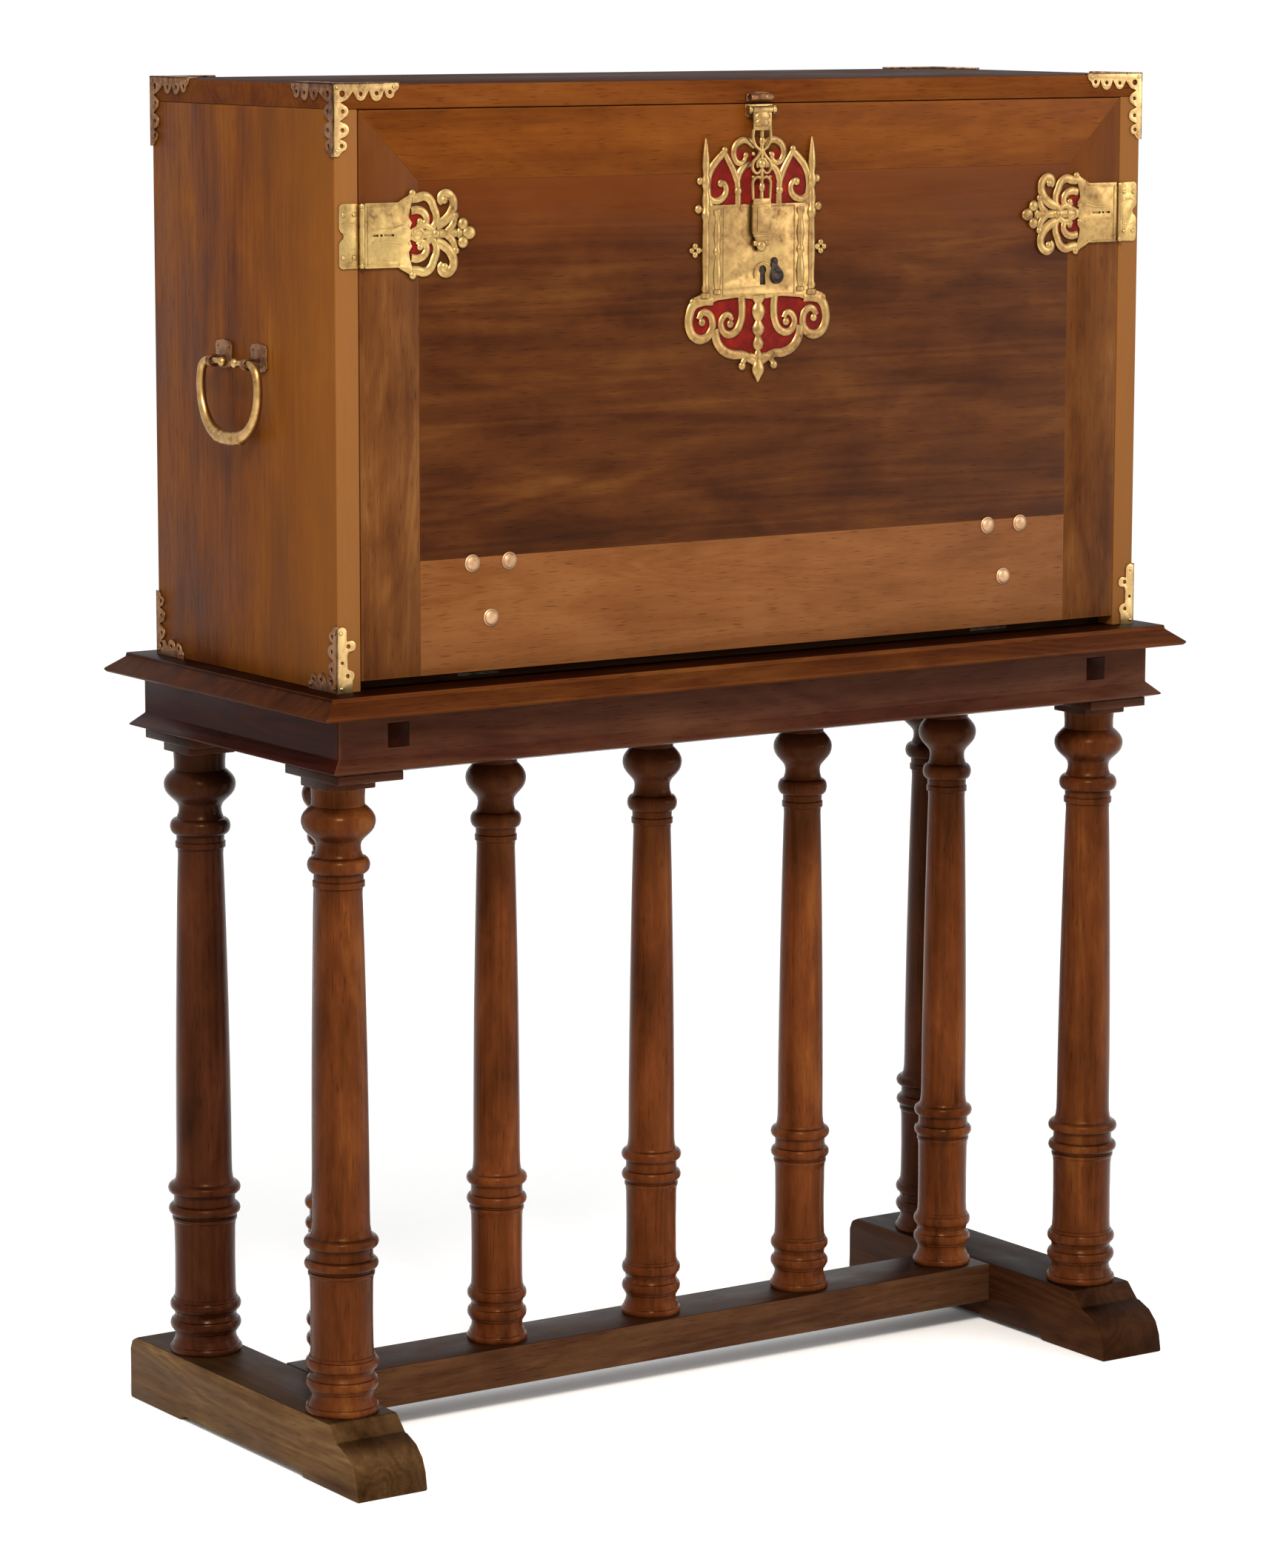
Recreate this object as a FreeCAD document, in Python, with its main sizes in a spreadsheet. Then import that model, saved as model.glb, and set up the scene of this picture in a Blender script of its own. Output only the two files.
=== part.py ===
"""Fall-front writing chest on a bridge stand of turned columns.

Millimetres. X runs to the right along the front, Y to the back, Z up; the origin lies on the
floor under the middle of the stand. The chest stands on the moulded top of the bridge stand,
and its front is a fall flap with a pierced brass lock plate.
"""

import FreeCAD, Part
import math
import os
import Sketcher
from types import SimpleNamespace

# Driving dimensions, kept in the sheet
SIZES = {
    # Chest carcass
    "chest_width": 1060,
    "chest_depth": 382,
    "chest_height": 626,
    "stand_height": 852,
    "side_thick": 28,
    "top_thick": 25,
    "bottom_thick": 25,
    "back_thick": 16,
    # Fall flap
    "flap_thick": 24,
    "flap_gap": 1,
    "hinge_rise": 13.5,
    "hinge_drop": 2.5,
    "swing_gap": 1,
    "stile_width": 72,
    "top_rail_height": 73,
    "bottom_rail_height": 121,
    # Strap hinges of the flap
    "strap_spread": 342,
    "strap_width": 30,
    "strap_bar_width": 66,
    "strap_bar_height": 16,
    "strap_thick": 2.5,
    "knuckle_radius": 5,
    "knuckle_pin_radius": 2.5,
    "knuckle_half_length": 26,
    "knuckle_gap": 0.5,
    "notch_room": 2,
    "leaf_height": 20,
    "pin_clearance": 0.08,
    "cut_overrun": 50,
    "stud_radius": 9.5,
    "stud_height": 5,
    "stud_low_height": 56,
    "stud_high_height": 115,
    "stud_half_spread": 23,
    # Lock plate and its velvet
    "velvet_thick": 1,
    "plate_thick": 2.5,
    "lock_width": 120,
    "lock_height": 101,
    "lock_drop": 234,
    "pillar_spread": 73,
    "pillar_radius": 5,
    "pillar_thick": 5,
    "spike_height": 71,
    "knob_reach": 10,
    "knob_height": 9,
    "crest_height": 62,
    "crest_bar": 7,
    "scroll_radius": 17,
    "scroll_band": 8,
    "tail_height": 92,
    "tail_bar": 12,
    "lock_case_width": 100,
    "lock_case_height": 80,
    "lock_case_thick": 3,
    "keyhole_radius": 3.5,
    "keyhole_length": 15,
    "keyhole_shift": 6,
    "keyhole_drop": 78,
    "slot_width": 9,
    "slot_height": 22,
    "slot_depth": 12,
    # Hasp
    "hasp_axis_drop": 6,
    "hasp_width": 26,
    "hasp_length": 153,
    "hasp_thick": 3,
    "hasp_rib": 1.5,
    "hasp_play": 1,
    "hasp_knuckle_radius": 4,
    "hasp_pin_radius": 2,
    "cheek_thick": 5,
    "bracket_height": 14,
    "keeper_height": 13,
    "staple_width": 5,
    "staple_height": 14,
    # Side latches
    "latch_drop": 154,
    "latch_plate_height": 67,
    "latch_plate_width": 44,
    "latch_cusp_height": 89,
    "latch_cusp_width": 31,
    "latch_eye_reach": 106,
    "latch_eye_radius": 9,
    "latch_eye_hole": 3,
    "latch_eye_half_spread": 35,
    "latch_tip_reach": 127,
    "latch_tip_radius": 12,
    "latch_arm_width": 9,
    "latch_knuckle_radius": 3.2,
    "latch_pin_radius": 1.5,
    "latch_post_height": 5,
    "latch_play": 0.25,
    "keeper_leaf_width": 23,
    "rivet_radius": 2.5,
    "rivet_height": 1.5,
    # Corner mounts
    "mount_thick": 2,
    "mount_long_leg": 85,
    "mount_front_leg": 79,
    "mount_drop": 75,
    "mount_band": 26,
    "mount_foot_leg": 60,
    "mount_foot_rise": 70,
    "mount_cusp": 9,
    # Side handles
    "handle_rise": 332,
    "ear_half_spread": 37,
    "ear_reach": 17,
    "ear_radius": 7,
    "ear_width": 8,
    "ear_shank_radius": 4.5,
    "ear_plate_width": 32,
    "ear_plate_height": 36,
    "ear_plate_drop": 8,
    "ear_plate_thick": 3,
    "bail_pin_radius": 3,
    "bail_radius": 5,
    "bail_swell_radius": 8,
    "bail_half_width": 59,
    "bail_tip_gap": 10,
    "bail_tip_radius": 5.5,
    "bail_tip_length": 8,
    "bail_drop": 80,
    "bail_side_gap": 2,
    # Inner cabinet
    "cabinet_setback": 17,
    "divider_spread": 170,
    "divider_thick": 12,
    "arch_board_thick": 12,
    "arch_margin": 34,
    "drawer_gap": 0.6,
    "drawer_front_thick": 14,
    "drawer_wall": 8,
    "drawer_floor": 6,
    "drawer_depth": 300,
    "drawer_panel_margin": 22,
    "drawer_panel_rise": 2,
    "drawer_knob_radius": 7,
    "drawer_knob_reach": 11,
    "drawer_knob_neck": 3.5,
    # Moulded top and frieze of the stand
    "frieze_length": 1080,
    "frieze_depth": 414,
    "frieze_height": 58,
    "rail_thick": 30,
    "slab_thick": 26,
    "slab_overhang": 34,
    "slab_set_back": 19,
    "slab_step": 4,
    "slab_lip": 7,
    "bead_reach": 13,
    "bead_height": 18,
    "bead_lip": 3.5,
    "bearer_inset": 74,
    "bearer_width": 44,
    "tenon_width": 26,
    "tenon_rise": 26,
    "middle_bearer_width": 60,
    "middle_bearer_height": 40,
    # Columns
    "column_inset": 35,
    "column_depth": 148,
    "row_end_gap": 86,
    "row_offset": 8,
    "cap_width": 80,
    "cap_depth": 110,
    "cap_height": 10,
    "collar_width": 58,
    "collar_height": 11,
    "bulb_radius": 39.5,
    "neck_radius": 27,
    "ring_radius": 33,
    "shaft_top_radius": 25,
    "shaft_foot_radius": 30.5,
    "band_radius": 39,
    "drum_radius": 33.5,
    "base_radius": 40.5,
    # Runners and stretcher
    "runner_height": 72,
    "runner_width": 87,
    "runner_shift": 1.5,
    "runner_length": 498,
    "runner_relief": 5,
    "runner_pad": 115,
    "nose_length": 62,
    "nose_rise": 54,
    "nose_step": 7,
    "heel_round": 15,
    "stretcher_width": 84,
    "stretcher_height": 45,
}


class Size:
    """A length that carries its number and the sheet expression that gives it."""

    def __init__(self, number, text):
        self.number = number
        self.text = text

    def __add__(self, other):
        other = as_size(other)
        return Size(self.number + other.number, f"({self.text} + {other.text})")

    def __sub__(self, other):
        other = as_size(other)
        return Size(self.number - other.number, f"({self.text} - {other.text})")

    def __mul__(self, share):
        share = as_size(share)
        return Size(self.number * share.number, f"({self.text} * {share.text})")

    def __truediv__(self, share):
        share = as_size(share)
        return Size(self.number / share.number, f"({self.text} / {share.text})")

    def __neg__(self):
        return Size(-self.number, f"(0 - {self.text})")


def as_size(value):
    """A plain number as a Size."""
    if isinstance(value, Size):
        return value
    return Size(float(value), repr(float(value)))


doc = FreeCAD.newDocument("writing_chest")
sheet = doc.addObject("Spreadsheet::Sheet", "dims")
for row, (alias, number) in enumerate(SIZES.items(), start=1):
    sheet.set(f"A{row}", alias)
    sheet.set(f"B{row}", str(number))
    sheet.setAlias(f"B{row}", alias)
doc.recompute()
S = SimpleNamespace(**{alias: Size(float(sheet.get(alias)), f"dims.{alias}") for alias in SIZES})
ZERO = as_size(0)
NODES = []

X_AXIS = FreeCAD.Vector(1, 0, 0)
Y_AXIS = FreeCAD.Vector(0, 1, 0)
Z_AXIS = FreeCAD.Vector(0, 0, 1)
UPRIGHT = FreeCAD.Rotation()
ALONG_X = FreeCAD.Rotation(Y_AXIS, 90)
ALONG_BACK = FreeCAD.Rotation(X_AXIS, -90)
ALONG_FRONT = FreeCAD.Rotation(X_AXIS, 90)


# Helpers that bind objects to the sheet

def bind(item, prop, size):
    """Ties one property to the sheet."""
    item.setExpression(prop, as_size(size).text)


def place(item, x, y, z, rotation=UPRIGHT):
    """Puts an object at a bound place."""
    item.Placement = FreeCAD.Placement(FreeCAD.Vector(), rotation)
    for axis, size in zip("xyz", (x, y, z)):
        bind(item, f"Placement.Base.{axis}", size)


def box(x, y, z):
    """A block between two bounds on each axis."""
    block = doc.addObject("Part::Box", "block")
    for prop, (low, high) in (("Length", x), ("Width", y), ("Height", z)):
        bind(block, prop, high - low)
    place(block, x[0], y[0], z[0])
    return block


def rod(radius, length, x, y, z, rotation=UPRIGHT):
    """A cylinder from a bound point along the turned Z axis."""
    cylinder = doc.addObject("Part::Cylinder", "rod")
    bind(cylinder, "Radius", radius)
    bind(cylinder, "Height", length)
    place(cylinder, x, y, z, rotation)
    return cylinder


def boss(radius, length, x, y, z, rotation=UPRIGHT):
    """An eight-sided boss from a bound point along the turned Z axis."""
    piece = doc.addObject("Part::Prism", "boss")
    piece.Polygon = 8
    bind(piece, "Circumradius", radius)
    bind(piece, "Height", length)
    place(piece, x, y, z, rotation)
    return piece


def fuse(*pieces):
    """One solid from several that touch."""
    if len(pieces) == 1:
        return pieces[0]
    whole = doc.addObject("Part::MultiFuse", "fuse")
    whole.Shapes = list(pieces)
    whole.Refine = True
    return whole


def cut(base, *tools):
    """A solid less one or more others."""
    rest = doc.addObject("Part::Cut", "cut")
    rest.Base = base
    rest.Tool = fuse(*tools)
    return rest


def mirrored(source, normal=X_AXIS):
    """The mirror image across the middle of the object."""
    image = doc.addObject("Part::Mirroring", "mirror")
    image.Source = source
    image.Normal = normal
    return image


def group(*pieces):
    """Several separate solids that share one node."""
    bundle = doc.addObject("Part::Compound", "group")
    bundle.Links = list(pieces)
    return bundle


def copied(source, x, y, z, rotation=UPRIGHT):
    """The same solid at another place."""
    copy = group(source)
    place(copy, x, y, z, rotation)
    return copy


def common(*pieces):
    """What all the pieces share."""
    rest = doc.addObject("Part::MultiCommon", "common")
    rest.Shapes = list(pieces)
    return rest


def node(label, item):
    """Names a finished sub-part."""
    item.Label = label
    NODES.append(item)
    return item


def draw(sketch, points):
    """A closed outline whose corners are bound to the sheet."""
    count = len(points)
    for index, (x, y) in enumerate(points):
        after = points[(index + 1) % count]
        start = FreeCAD.Vector(x.number, y.number, 0)
        end = FreeCAD.Vector(after[0].number, after[1].number, 0)
        sketch.addGeometry(Part.LineSegment(start, end))
    for index in range(count):
        sketch.addConstraint(Sketcher.Constraint("Coincident", index, 2, (index + 1) % count, 1))
    for index, corner in enumerate(points):
        for kind, own_axis, size in zip(("DistanceX", "DistanceY"), (-2, -1), corner):
            if size.number == 0:
                sketch.addConstraint(Sketcher.Constraint("PointOnObject", index, 1, own_axis))
            else:
                datum = sketch.addConstraint(Sketcher.Constraint(kind, -1, 1, index, 1, size.number))
                sketch.setExpression(f"Constraints[{datum}]", size.text)


def body_with_sketch(role, points):
    """A body and a sketch on one of its origin planes."""
    body = doc.addObject("PartDesign::Body", "body")
    sketch = body.newObject("Sketcher::SketchObject", "outline")
    plane = [item for item in body.Origin.OriginFeatures if item.Role == role][0]
    sketch.AttachmentSupport = [(plane, "")]
    sketch.MapMode = "FlatFace"
    draw(sketch, points)
    return body, sketch


def padded(role, points, length):
    """A body padded from an outline, evenly to both sides of its plane."""
    body, sketch = body_with_sketch(role, points)
    pad = body.newObject("PartDesign::Pad", "pad")
    pad.Profile = sketch
    pad.Midplane = True
    bind(pad, "Length", length)
    return body


def span(middle, width):
    """The two bounds of a width about its middle."""
    return middle - width / 2, middle + width / 2


# Levels and planes that several pieces share
half_width = S.chest_width / 2
front = -(S.chest_depth / 2)
back = S.chest_depth / 2
base = S.stand_height
chest_top = base + S.chest_height
inner_x = half_width - S.side_thick
top_under = chest_top - S.top_thick
floor_top = base + S.bottom_thick
inner_back = back - S.back_thick
flap_back = front + S.flap_thick
hinge_y = front + S.flap_thick / 2
hinge_z = base + S.hinge_rise
flap_bottom = hinge_z - S.hinge_drop
flap_top = top_under - S.flap_gap
flap_x = inner_x - S.flap_gap
stile_x = flap_x - S.stile_width
rail_low = flap_top - S.top_rail_height
rail_high = flap_bottom + S.bottom_rail_height
board_front = flap_back + S.swing_gap
notch_top = hinge_z + S.knuckle_radius + S.notch_room
plate_back = front - S.velvet_thick
plate_front = plate_back - S.plate_thick
lock_base = chest_top - S.lock_drop
lock_top = lock_base + S.lock_height
latch_level = chest_top - S.latch_drop
handle_level = base + S.handle_rise
column_x = S.frieze_length / 2 - S.column_inset
bearer_x = S.frieze_length / 2 - S.bearer_inset
row_spacing = (column_x - S.row_end_gap) / 2
runner_x = column_x - S.runner_shift


# Chest carcass

def build_carcass():
    """Two sides, top, bottom and back."""
    node("side_board_left", box((-half_width, -inner_x), (front, back), (base, top_under)))
    node("side_board_right", box((inner_x, half_width), (front, back), (base, top_under)))
    node("top_board", box((-half_width, half_width), (front, back), (top_under, chest_top)))
    floor = box((-inner_x, inner_x), (board_front, inner_back), (base, floor_top))
    seats = [box(span(S.strap_spread * side, S.knuckle_half_length * 2),
                 (board_front, board_front + S.strap_thick),
                 leaf_span()) for side in (-1, 1)]
    node("bottom_board", cut(floor, *seats))
    node("back_panel", box((-inner_x, inner_x), (inner_back, back), (base, top_under)))


def leaf_span():
    """The bounds of a fixed hinge leaf, up and down, about the hinge axis."""
    return span(hinge_z, S.leaf_height)


# Fall flap: a mitred frame round a flush panel

def build_flap():
    """Stiles and top rail are mitred; the bottom rail stands between the stiles."""
    for side, label in ((-1, "flap_stile_left"), (1, "flap_stile_right")):
        outline = [(stile_x * side, flap_bottom), (flap_x * side, flap_bottom),
                   (flap_x * side, flap_top), (stile_x * side, rail_low)]
        stile = padded("XZ_Plane", outline, S.flap_thick)
        place(stile, ZERO, hinge_y, ZERO)
        node(label, stile)
    top_rail = padded("XZ_Plane", [(-flap_x, flap_top), (flap_x, flap_top),
                                   (stile_x, rail_low), (-stile_x, rail_low)], S.flap_thick)
    place(top_rail, ZERO, hinge_y, ZERO)
    node("flap_top_rail", top_rail)

    rail = box((-stile_x, stile_x), (front, flap_back), (flap_bottom, rail_high))
    tools = []
    bar_seats = []
    for side in (-1, 1):
        middle = S.strap_spread * side
        recess = (flap_back - S.strap_thick, flap_back)
        tools.append(box(span(middle, S.knuckle_half_length * 2 + S.notch_room * 2),
                         (hinge_y - S.knuckle_radius - S.notch_room, flap_back),
                         (flap_bottom, notch_top)))
        tools.append(box(span(middle, S.strap_width), recess, (flap_bottom, strap_bar_foot())))
        bar_seats.append(box(span(middle, S.strap_bar_width), recess, strap_bar_span()))
    node("flap_bottom_rail", cut(rail, *tools, *bar_seats))

    panel = box((-stile_x, stile_x), (front, flap_back), (rail_high, rail_low))
    case_seat = box(span(ZERO, S.lock_case_width), (flap_back - S.lock_case_thick, flap_back),
                    span(lock_middle(), S.lock_case_height))
    slot = box(span(ZERO, S.slot_width), (front, front + S.slot_depth),
               span(staple_level(), S.slot_height))
    node("flap_panel", cut(panel, case_seat, slot, *bar_seats))


def strap_bar_foot():
    """The lower edge of a strap's cross bar."""
    return flap_bottom + S.stud_high_height - S.strap_bar_height / 2


def strap_bar_span():
    """The bounds of a strap's cross bar, up and down."""
    return strap_bar_foot(), strap_bar_foot() + S.strap_bar_height


def lock_middle():
    """The level of the middle of the lock plate."""
    return lock_base + S.lock_height / 2


def hasp_axis_z():
    """The level of the hasp's pin."""
    return flap_top - S.hasp_axis_drop


def staple_level():
    """The level at which the hasp's staple enters the lock."""
    return hasp_axis_z() - S.hasp_length + S.staple_height


# Strap hinges

def build_hinges():
    """Fixed leaves with their pins, the flap's straps, and the stud heads outside."""
    leaves = []
    straps = []
    for side in (-1, 1):
        middle = S.strap_spread * side
        inner = S.knuckle_half_length / 2 - S.knuckle_gap
        outer_length = S.knuckle_half_length / 2
        parts = [rod(S.knuckle_pin_radius, S.knuckle_half_length * 2,
                     middle - S.knuckle_half_length, hinge_y, hinge_z, ALONG_X)]
        for start in (middle - S.knuckle_half_length, middle + S.knuckle_half_length / 2):
            ends = (start, start + outer_length)
            parts.append(rod(S.knuckle_radius, outer_length, start, hinge_y, hinge_z, ALONG_X))
            parts.append(box(ends, (hinge_y, board_front + S.strap_thick),
                             (hinge_z - S.knuckle_radius, hinge_z - S.knuckle_pin_radius)))
        parts.append(box(span(middle, S.knuckle_half_length * 2),
                         (board_front, board_front + S.strap_thick), leaf_span()))
        leaves.append(fuse(*parts))

        lug = (middle - inner, middle + inner)
        plate = (flap_back - S.strap_thick, flap_back)
        strap = fuse(rod(S.knuckle_radius, inner * 2, middle - inner, hinge_y, hinge_z, ALONG_X),
                     box(lug, (hinge_y, flap_back), (hinge_z + S.knuckle_pin_radius, hinge_z + S.knuckle_radius)),
                     box(lug, plate, (hinge_z + S.knuckle_pin_radius, notch_top)),
                     box(span(middle, S.strap_width), plate, (notch_top, strap_bar_foot())),
                     box(span(middle, S.strap_bar_width), plate, strap_bar_span()))
        bore = rod(S.knuckle_pin_radius + S.pin_clearance, inner * 2 + S.knuckle_gap * 2,
                   middle - inner - S.knuckle_gap, hinge_y, hinge_z, ALONG_X)
        straps.append(cut(strap, bore))
    node("hinge_leaves", group(*leaves))
    node("hinge_straps", group(*straps))

    heads = []
    for side in (-1, 1):
        for shift, rise in ((ZERO, S.stud_low_height), (-S.stud_half_spread, S.stud_high_height),
                            (S.stud_half_spread, S.stud_high_height)):
            x = S.strap_spread * side + shift
            z = flap_bottom + rise
            rim = S.stud_height * STUD_RIM_SHARE
            heads.append(fuse(boss(S.stud_radius, rim, x, front, z, ALONG_FRONT),
                              boss(S.stud_radius * STUD_CROWN_SHARE, S.stud_height - rim,
                                   x, front - rim, z, ALONG_FRONT)))
    node("hinge_studs", group(*heads))


STUD_RIM_SHARE = 0.5
STUD_CROWN_SHARE = 0.65


# Lock plate

def disc(radius, x, z, depth=None):
    """A flat disc of the plate's thickness."""
    return rod(radius, depth or S.plate_thick, x, plate_back, z, ALONG_FRONT)


def flat(x, z):
    """A flat bar of the plate's thickness."""
    return box(x, (plate_front, plate_back), z)


def flat_outline(points, thick=None):
    """A flat piece with a bound outline, on the plate's back plane."""
    depth = thick or S.plate_thick
    piece = padded("XZ_Plane", points, depth)
    place(piece, ZERO, plate_back - depth / 2, ZERO)
    return piece


SCROLL_OUT_SHARE = 1.23
SCROLL_IN_SHARE = 0.62
SCROLL_DROP_SHARE = 0.32
CREST_STEM_SHARE = 0.45
CREST_STEM_RISE_SHARE = 0.82
CREST_EYE_SHARE = 0.33
CREST_RISE_SHARE = 0.92
CREST_FOOT_SHARE = 0.3
VELVET_RISE_SHARE = 0.6
VELVET_DROP_SHARE = 0.5
LATCH_VELVET_SHARE = 0.7
# Lower tail of the plate, right half: share of half the lock's width, share of the tail's height
TAIL_OUTLINE_SHARES = [(0.0, 0.0), (0.2, 0.0), (0.13, 0.16), (0.2, 0.3), (0.12, 0.46), (0.24, 0.62),
                       (0.35, 0.78), (0.15, 0.84), (0.0, 1.0)]
TAIL_ARM_SHARES = [(1.03, 0.4), (0.8, 0.58), (0.5, 0.71), (0.16, 0.76), (0.16, 0.66), (0.44, 0.61),
                   (0.66, 0.5), (0.78, 0.36), (0.98, 0.3)]
# Cresting over the plate, right half: share of the pillars' spread, share of the crest's height
CREST_ARM_SHARES = [(0.98, 0.3), (0.98, 0.55), (0.62, 1.0), (0.35, 0.62), (0.42, 0.55), (0.6, 0.82),
                    (0.84, 0.5), (0.84, 0.28)]
# Pillar beside the plate: share of its half width, share of its height up to the spike's tip
PILLAR_SHARES = [(0.8, 0.0), (0.8, 0.09), (0.5, 0.12), (1.0, 0.17), (1.0, 0.22), (0.55, 0.3), (0.8, 0.48),
                 (0.8, 0.62), (1.3, 0.66), (0.6, 0.7), (1.0, 0.76), (0.15, 1.0)]
KNOB_RISE_SHARES = [0.34, 0.52, 0.68]



def build_lock():
    """Pierced plate, pillars with spikes and knobs, the velvet behind, the case inside."""
    half = S.lock_width / 2
    scroll_z = lock_base - S.tail_height * SCROLL_DROP_SHARE
    crest_foot = lock_top - S.crest_height * CREST_FOOT_SHARE
    pillar_foot = scroll_z + S.scroll_radius - S.scroll_band / 2
    pillar_height = lock_top + S.spike_height - pillar_foot
    pieces = [flat((-half, half), (lock_base, lock_top))]
    holes = []
    for side in (-1, 1):
        pieces.append(flat_outline([(S.pillar_spread * x * side, crest_foot + S.crest_height * z)
                                    for x, z in CREST_ARM_SHARES]))
        eye = (half * CREST_EYE_SHARE * side, lock_top + S.crest_height * CREST_RISE_SHARE)
        pieces.append(disc(S.scroll_radius - S.scroll_band / 2, *eye))
        holes.append(disc(S.scroll_radius / 2 - S.scroll_band / 2, *eye))
        pieces.append(flat(span(half * CREST_STEM_SHARE * side, S.crest_bar),
                           (lock_top, lock_top + S.crest_height * CREST_STEM_RISE_SHARE)))
        pieces.append(flat_outline([(half * x * side, lock_base - S.tail_height * z)
                                    for x, z in TAIL_ARM_SHARES]))
        for shift in (SCROLL_OUT_SHARE, SCROLL_IN_SHARE):
            pieces.append(disc(S.scroll_radius, half * shift * side, scroll_z))
            holes.append(disc(S.scroll_radius - S.scroll_band, half * shift * side, scroll_z))
        middle = S.pillar_spread * side
        pillar = [(S.pillar_radius * x, pillar_foot + pillar_height * z) for x, z in PILLAR_SHARES]
        pieces.append(flat_outline([(middle - x, z) for x, z in reversed(pillar)]
                                   + [(middle + x, z) for x, z in pillar], S.pillar_thick))
        for rise in KNOB_RISE_SHARES:
            ends = (half * side, (S.pillar_spread + S.pillar_radius + S.knob_reach) * side)
            pieces.append(flat(ends if side > 0 else ends[::-1],
                               span(pillar_foot + pillar_height * rise, S.knob_height)))
    tail = [(half * x, lock_base - S.tail_height * z) for x, z in TAIL_OUTLINE_SHARES]
    pieces.append(flat_outline([(-x, z) for x, z in reversed(tail[1:-1])] + tail))
    holes.append(flat(span(ZERO, S.slot_width), span(staple_level(), S.slot_height)))
    key_z = lock_top - S.keyhole_drop
    holes.append(disc(S.keyhole_radius, S.keyhole_shift, key_z))
    holes.append(flat(span(S.keyhole_shift, S.keyhole_radius), (key_z - S.keyhole_length, key_z)))
    node("lock_plate", cut(fuse(*pieces), *holes))

    velvet_low = lock_base - S.tail_height * VELVET_DROP_SHARE
    velvets = [box((-half, half), (plate_back, front), (velvet_low, lock_top + S.crest_height * VELVET_RISE_SHARE))]
    for side in (-1, 1):
        middle = latch_axis_x(side) - (S.latch_plate_width + S.latch_cusp_width) * side
        velvets.append(box(span(middle, S.latch_cusp_width), (plate_back, front),
                           span(latch_level, S.latch_plate_height * LATCH_VELVET_SHARE)))
    slot = box(span(ZERO, S.slot_width), (plate_back, front), span(staple_level(), S.slot_height))
    node("velvet_backings", group(cut(velvets[0], slot), velvets[1], velvets[2]))
    node("lock_case", box(span(ZERO, S.lock_case_width), (flap_back - S.lock_case_thick, flap_back),
                          span(lock_middle(), S.lock_case_height)))


# Hasp

def build_hasp():
    """A hinged strap over the lock plate, its bracket on the flap and the stop on the top board."""
    axis_z = hasp_axis_z()
    axis_y = plate_front - S.hasp_play - S.hasp_thick
    half = S.hasp_width / 2
    cheek = half + S.cheek_thick
    foot = (axis_y - S.hasp_knuckle_radius, front)
    bracket = cut(box((-cheek, cheek), foot, (flap_top - S.bracket_height, flap_top)),
                  box((-(half + S.knuckle_gap), half + S.knuckle_gap), (foot[0], front - S.mount_thick),
                      (flap_top - S.bracket_height, flap_top)))
    pin = rod(S.hasp_pin_radius, cheek * 2, -cheek, axis_y, axis_z, ALONG_X)
    node("hasp_bracket", fuse(bracket, pin))
    node("hasp_keeper", box((-cheek, cheek), foot, (top_under + S.flap_gap, top_under + S.flap_gap + S.keeper_height)))

    strap = box((-half, half), (axis_y - S.hasp_thick / 2, axis_y + S.hasp_thick / 2),
                (axis_z - S.hasp_length, axis_z))
    parts = [rod(S.hasp_knuckle_radius, half * 2, -half, axis_y, axis_z, ALONG_X), strap]
    for drop in HASP_RIB_SHARES:
        z = axis_z - S.hasp_length * drop
        rib_y = axis_y - S.hasp_thick / 2
        parts.append(box((-half, half), (rib_y - S.hasp_rib, rib_y), (z - S.hasp_rib * 2, z + S.hasp_rib * 2)))
    parts.append(box(span(ZERO, S.staple_width), (axis_y + S.hasp_thick / 2, front + S.slot_depth * STAPLE_SHARE),
                     span(staple_level(), S.staple_height)))
    bore = rod(S.hasp_pin_radius + S.pin_clearance, half * 2, -half, axis_y, axis_z, ALONG_X)
    node("hasp", cut(fuse(*parts), bore))


HASP_RIB_SHARES = [0.14, 0.3, 0.52, 0.74, 0.97]
STAPLE_SHARE = 0.4


# Side latches

def latch_axis_x(side):
    """Where a latch's vertical pin stands."""
    return (flap_x - S.flap_gap) * side


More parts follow.
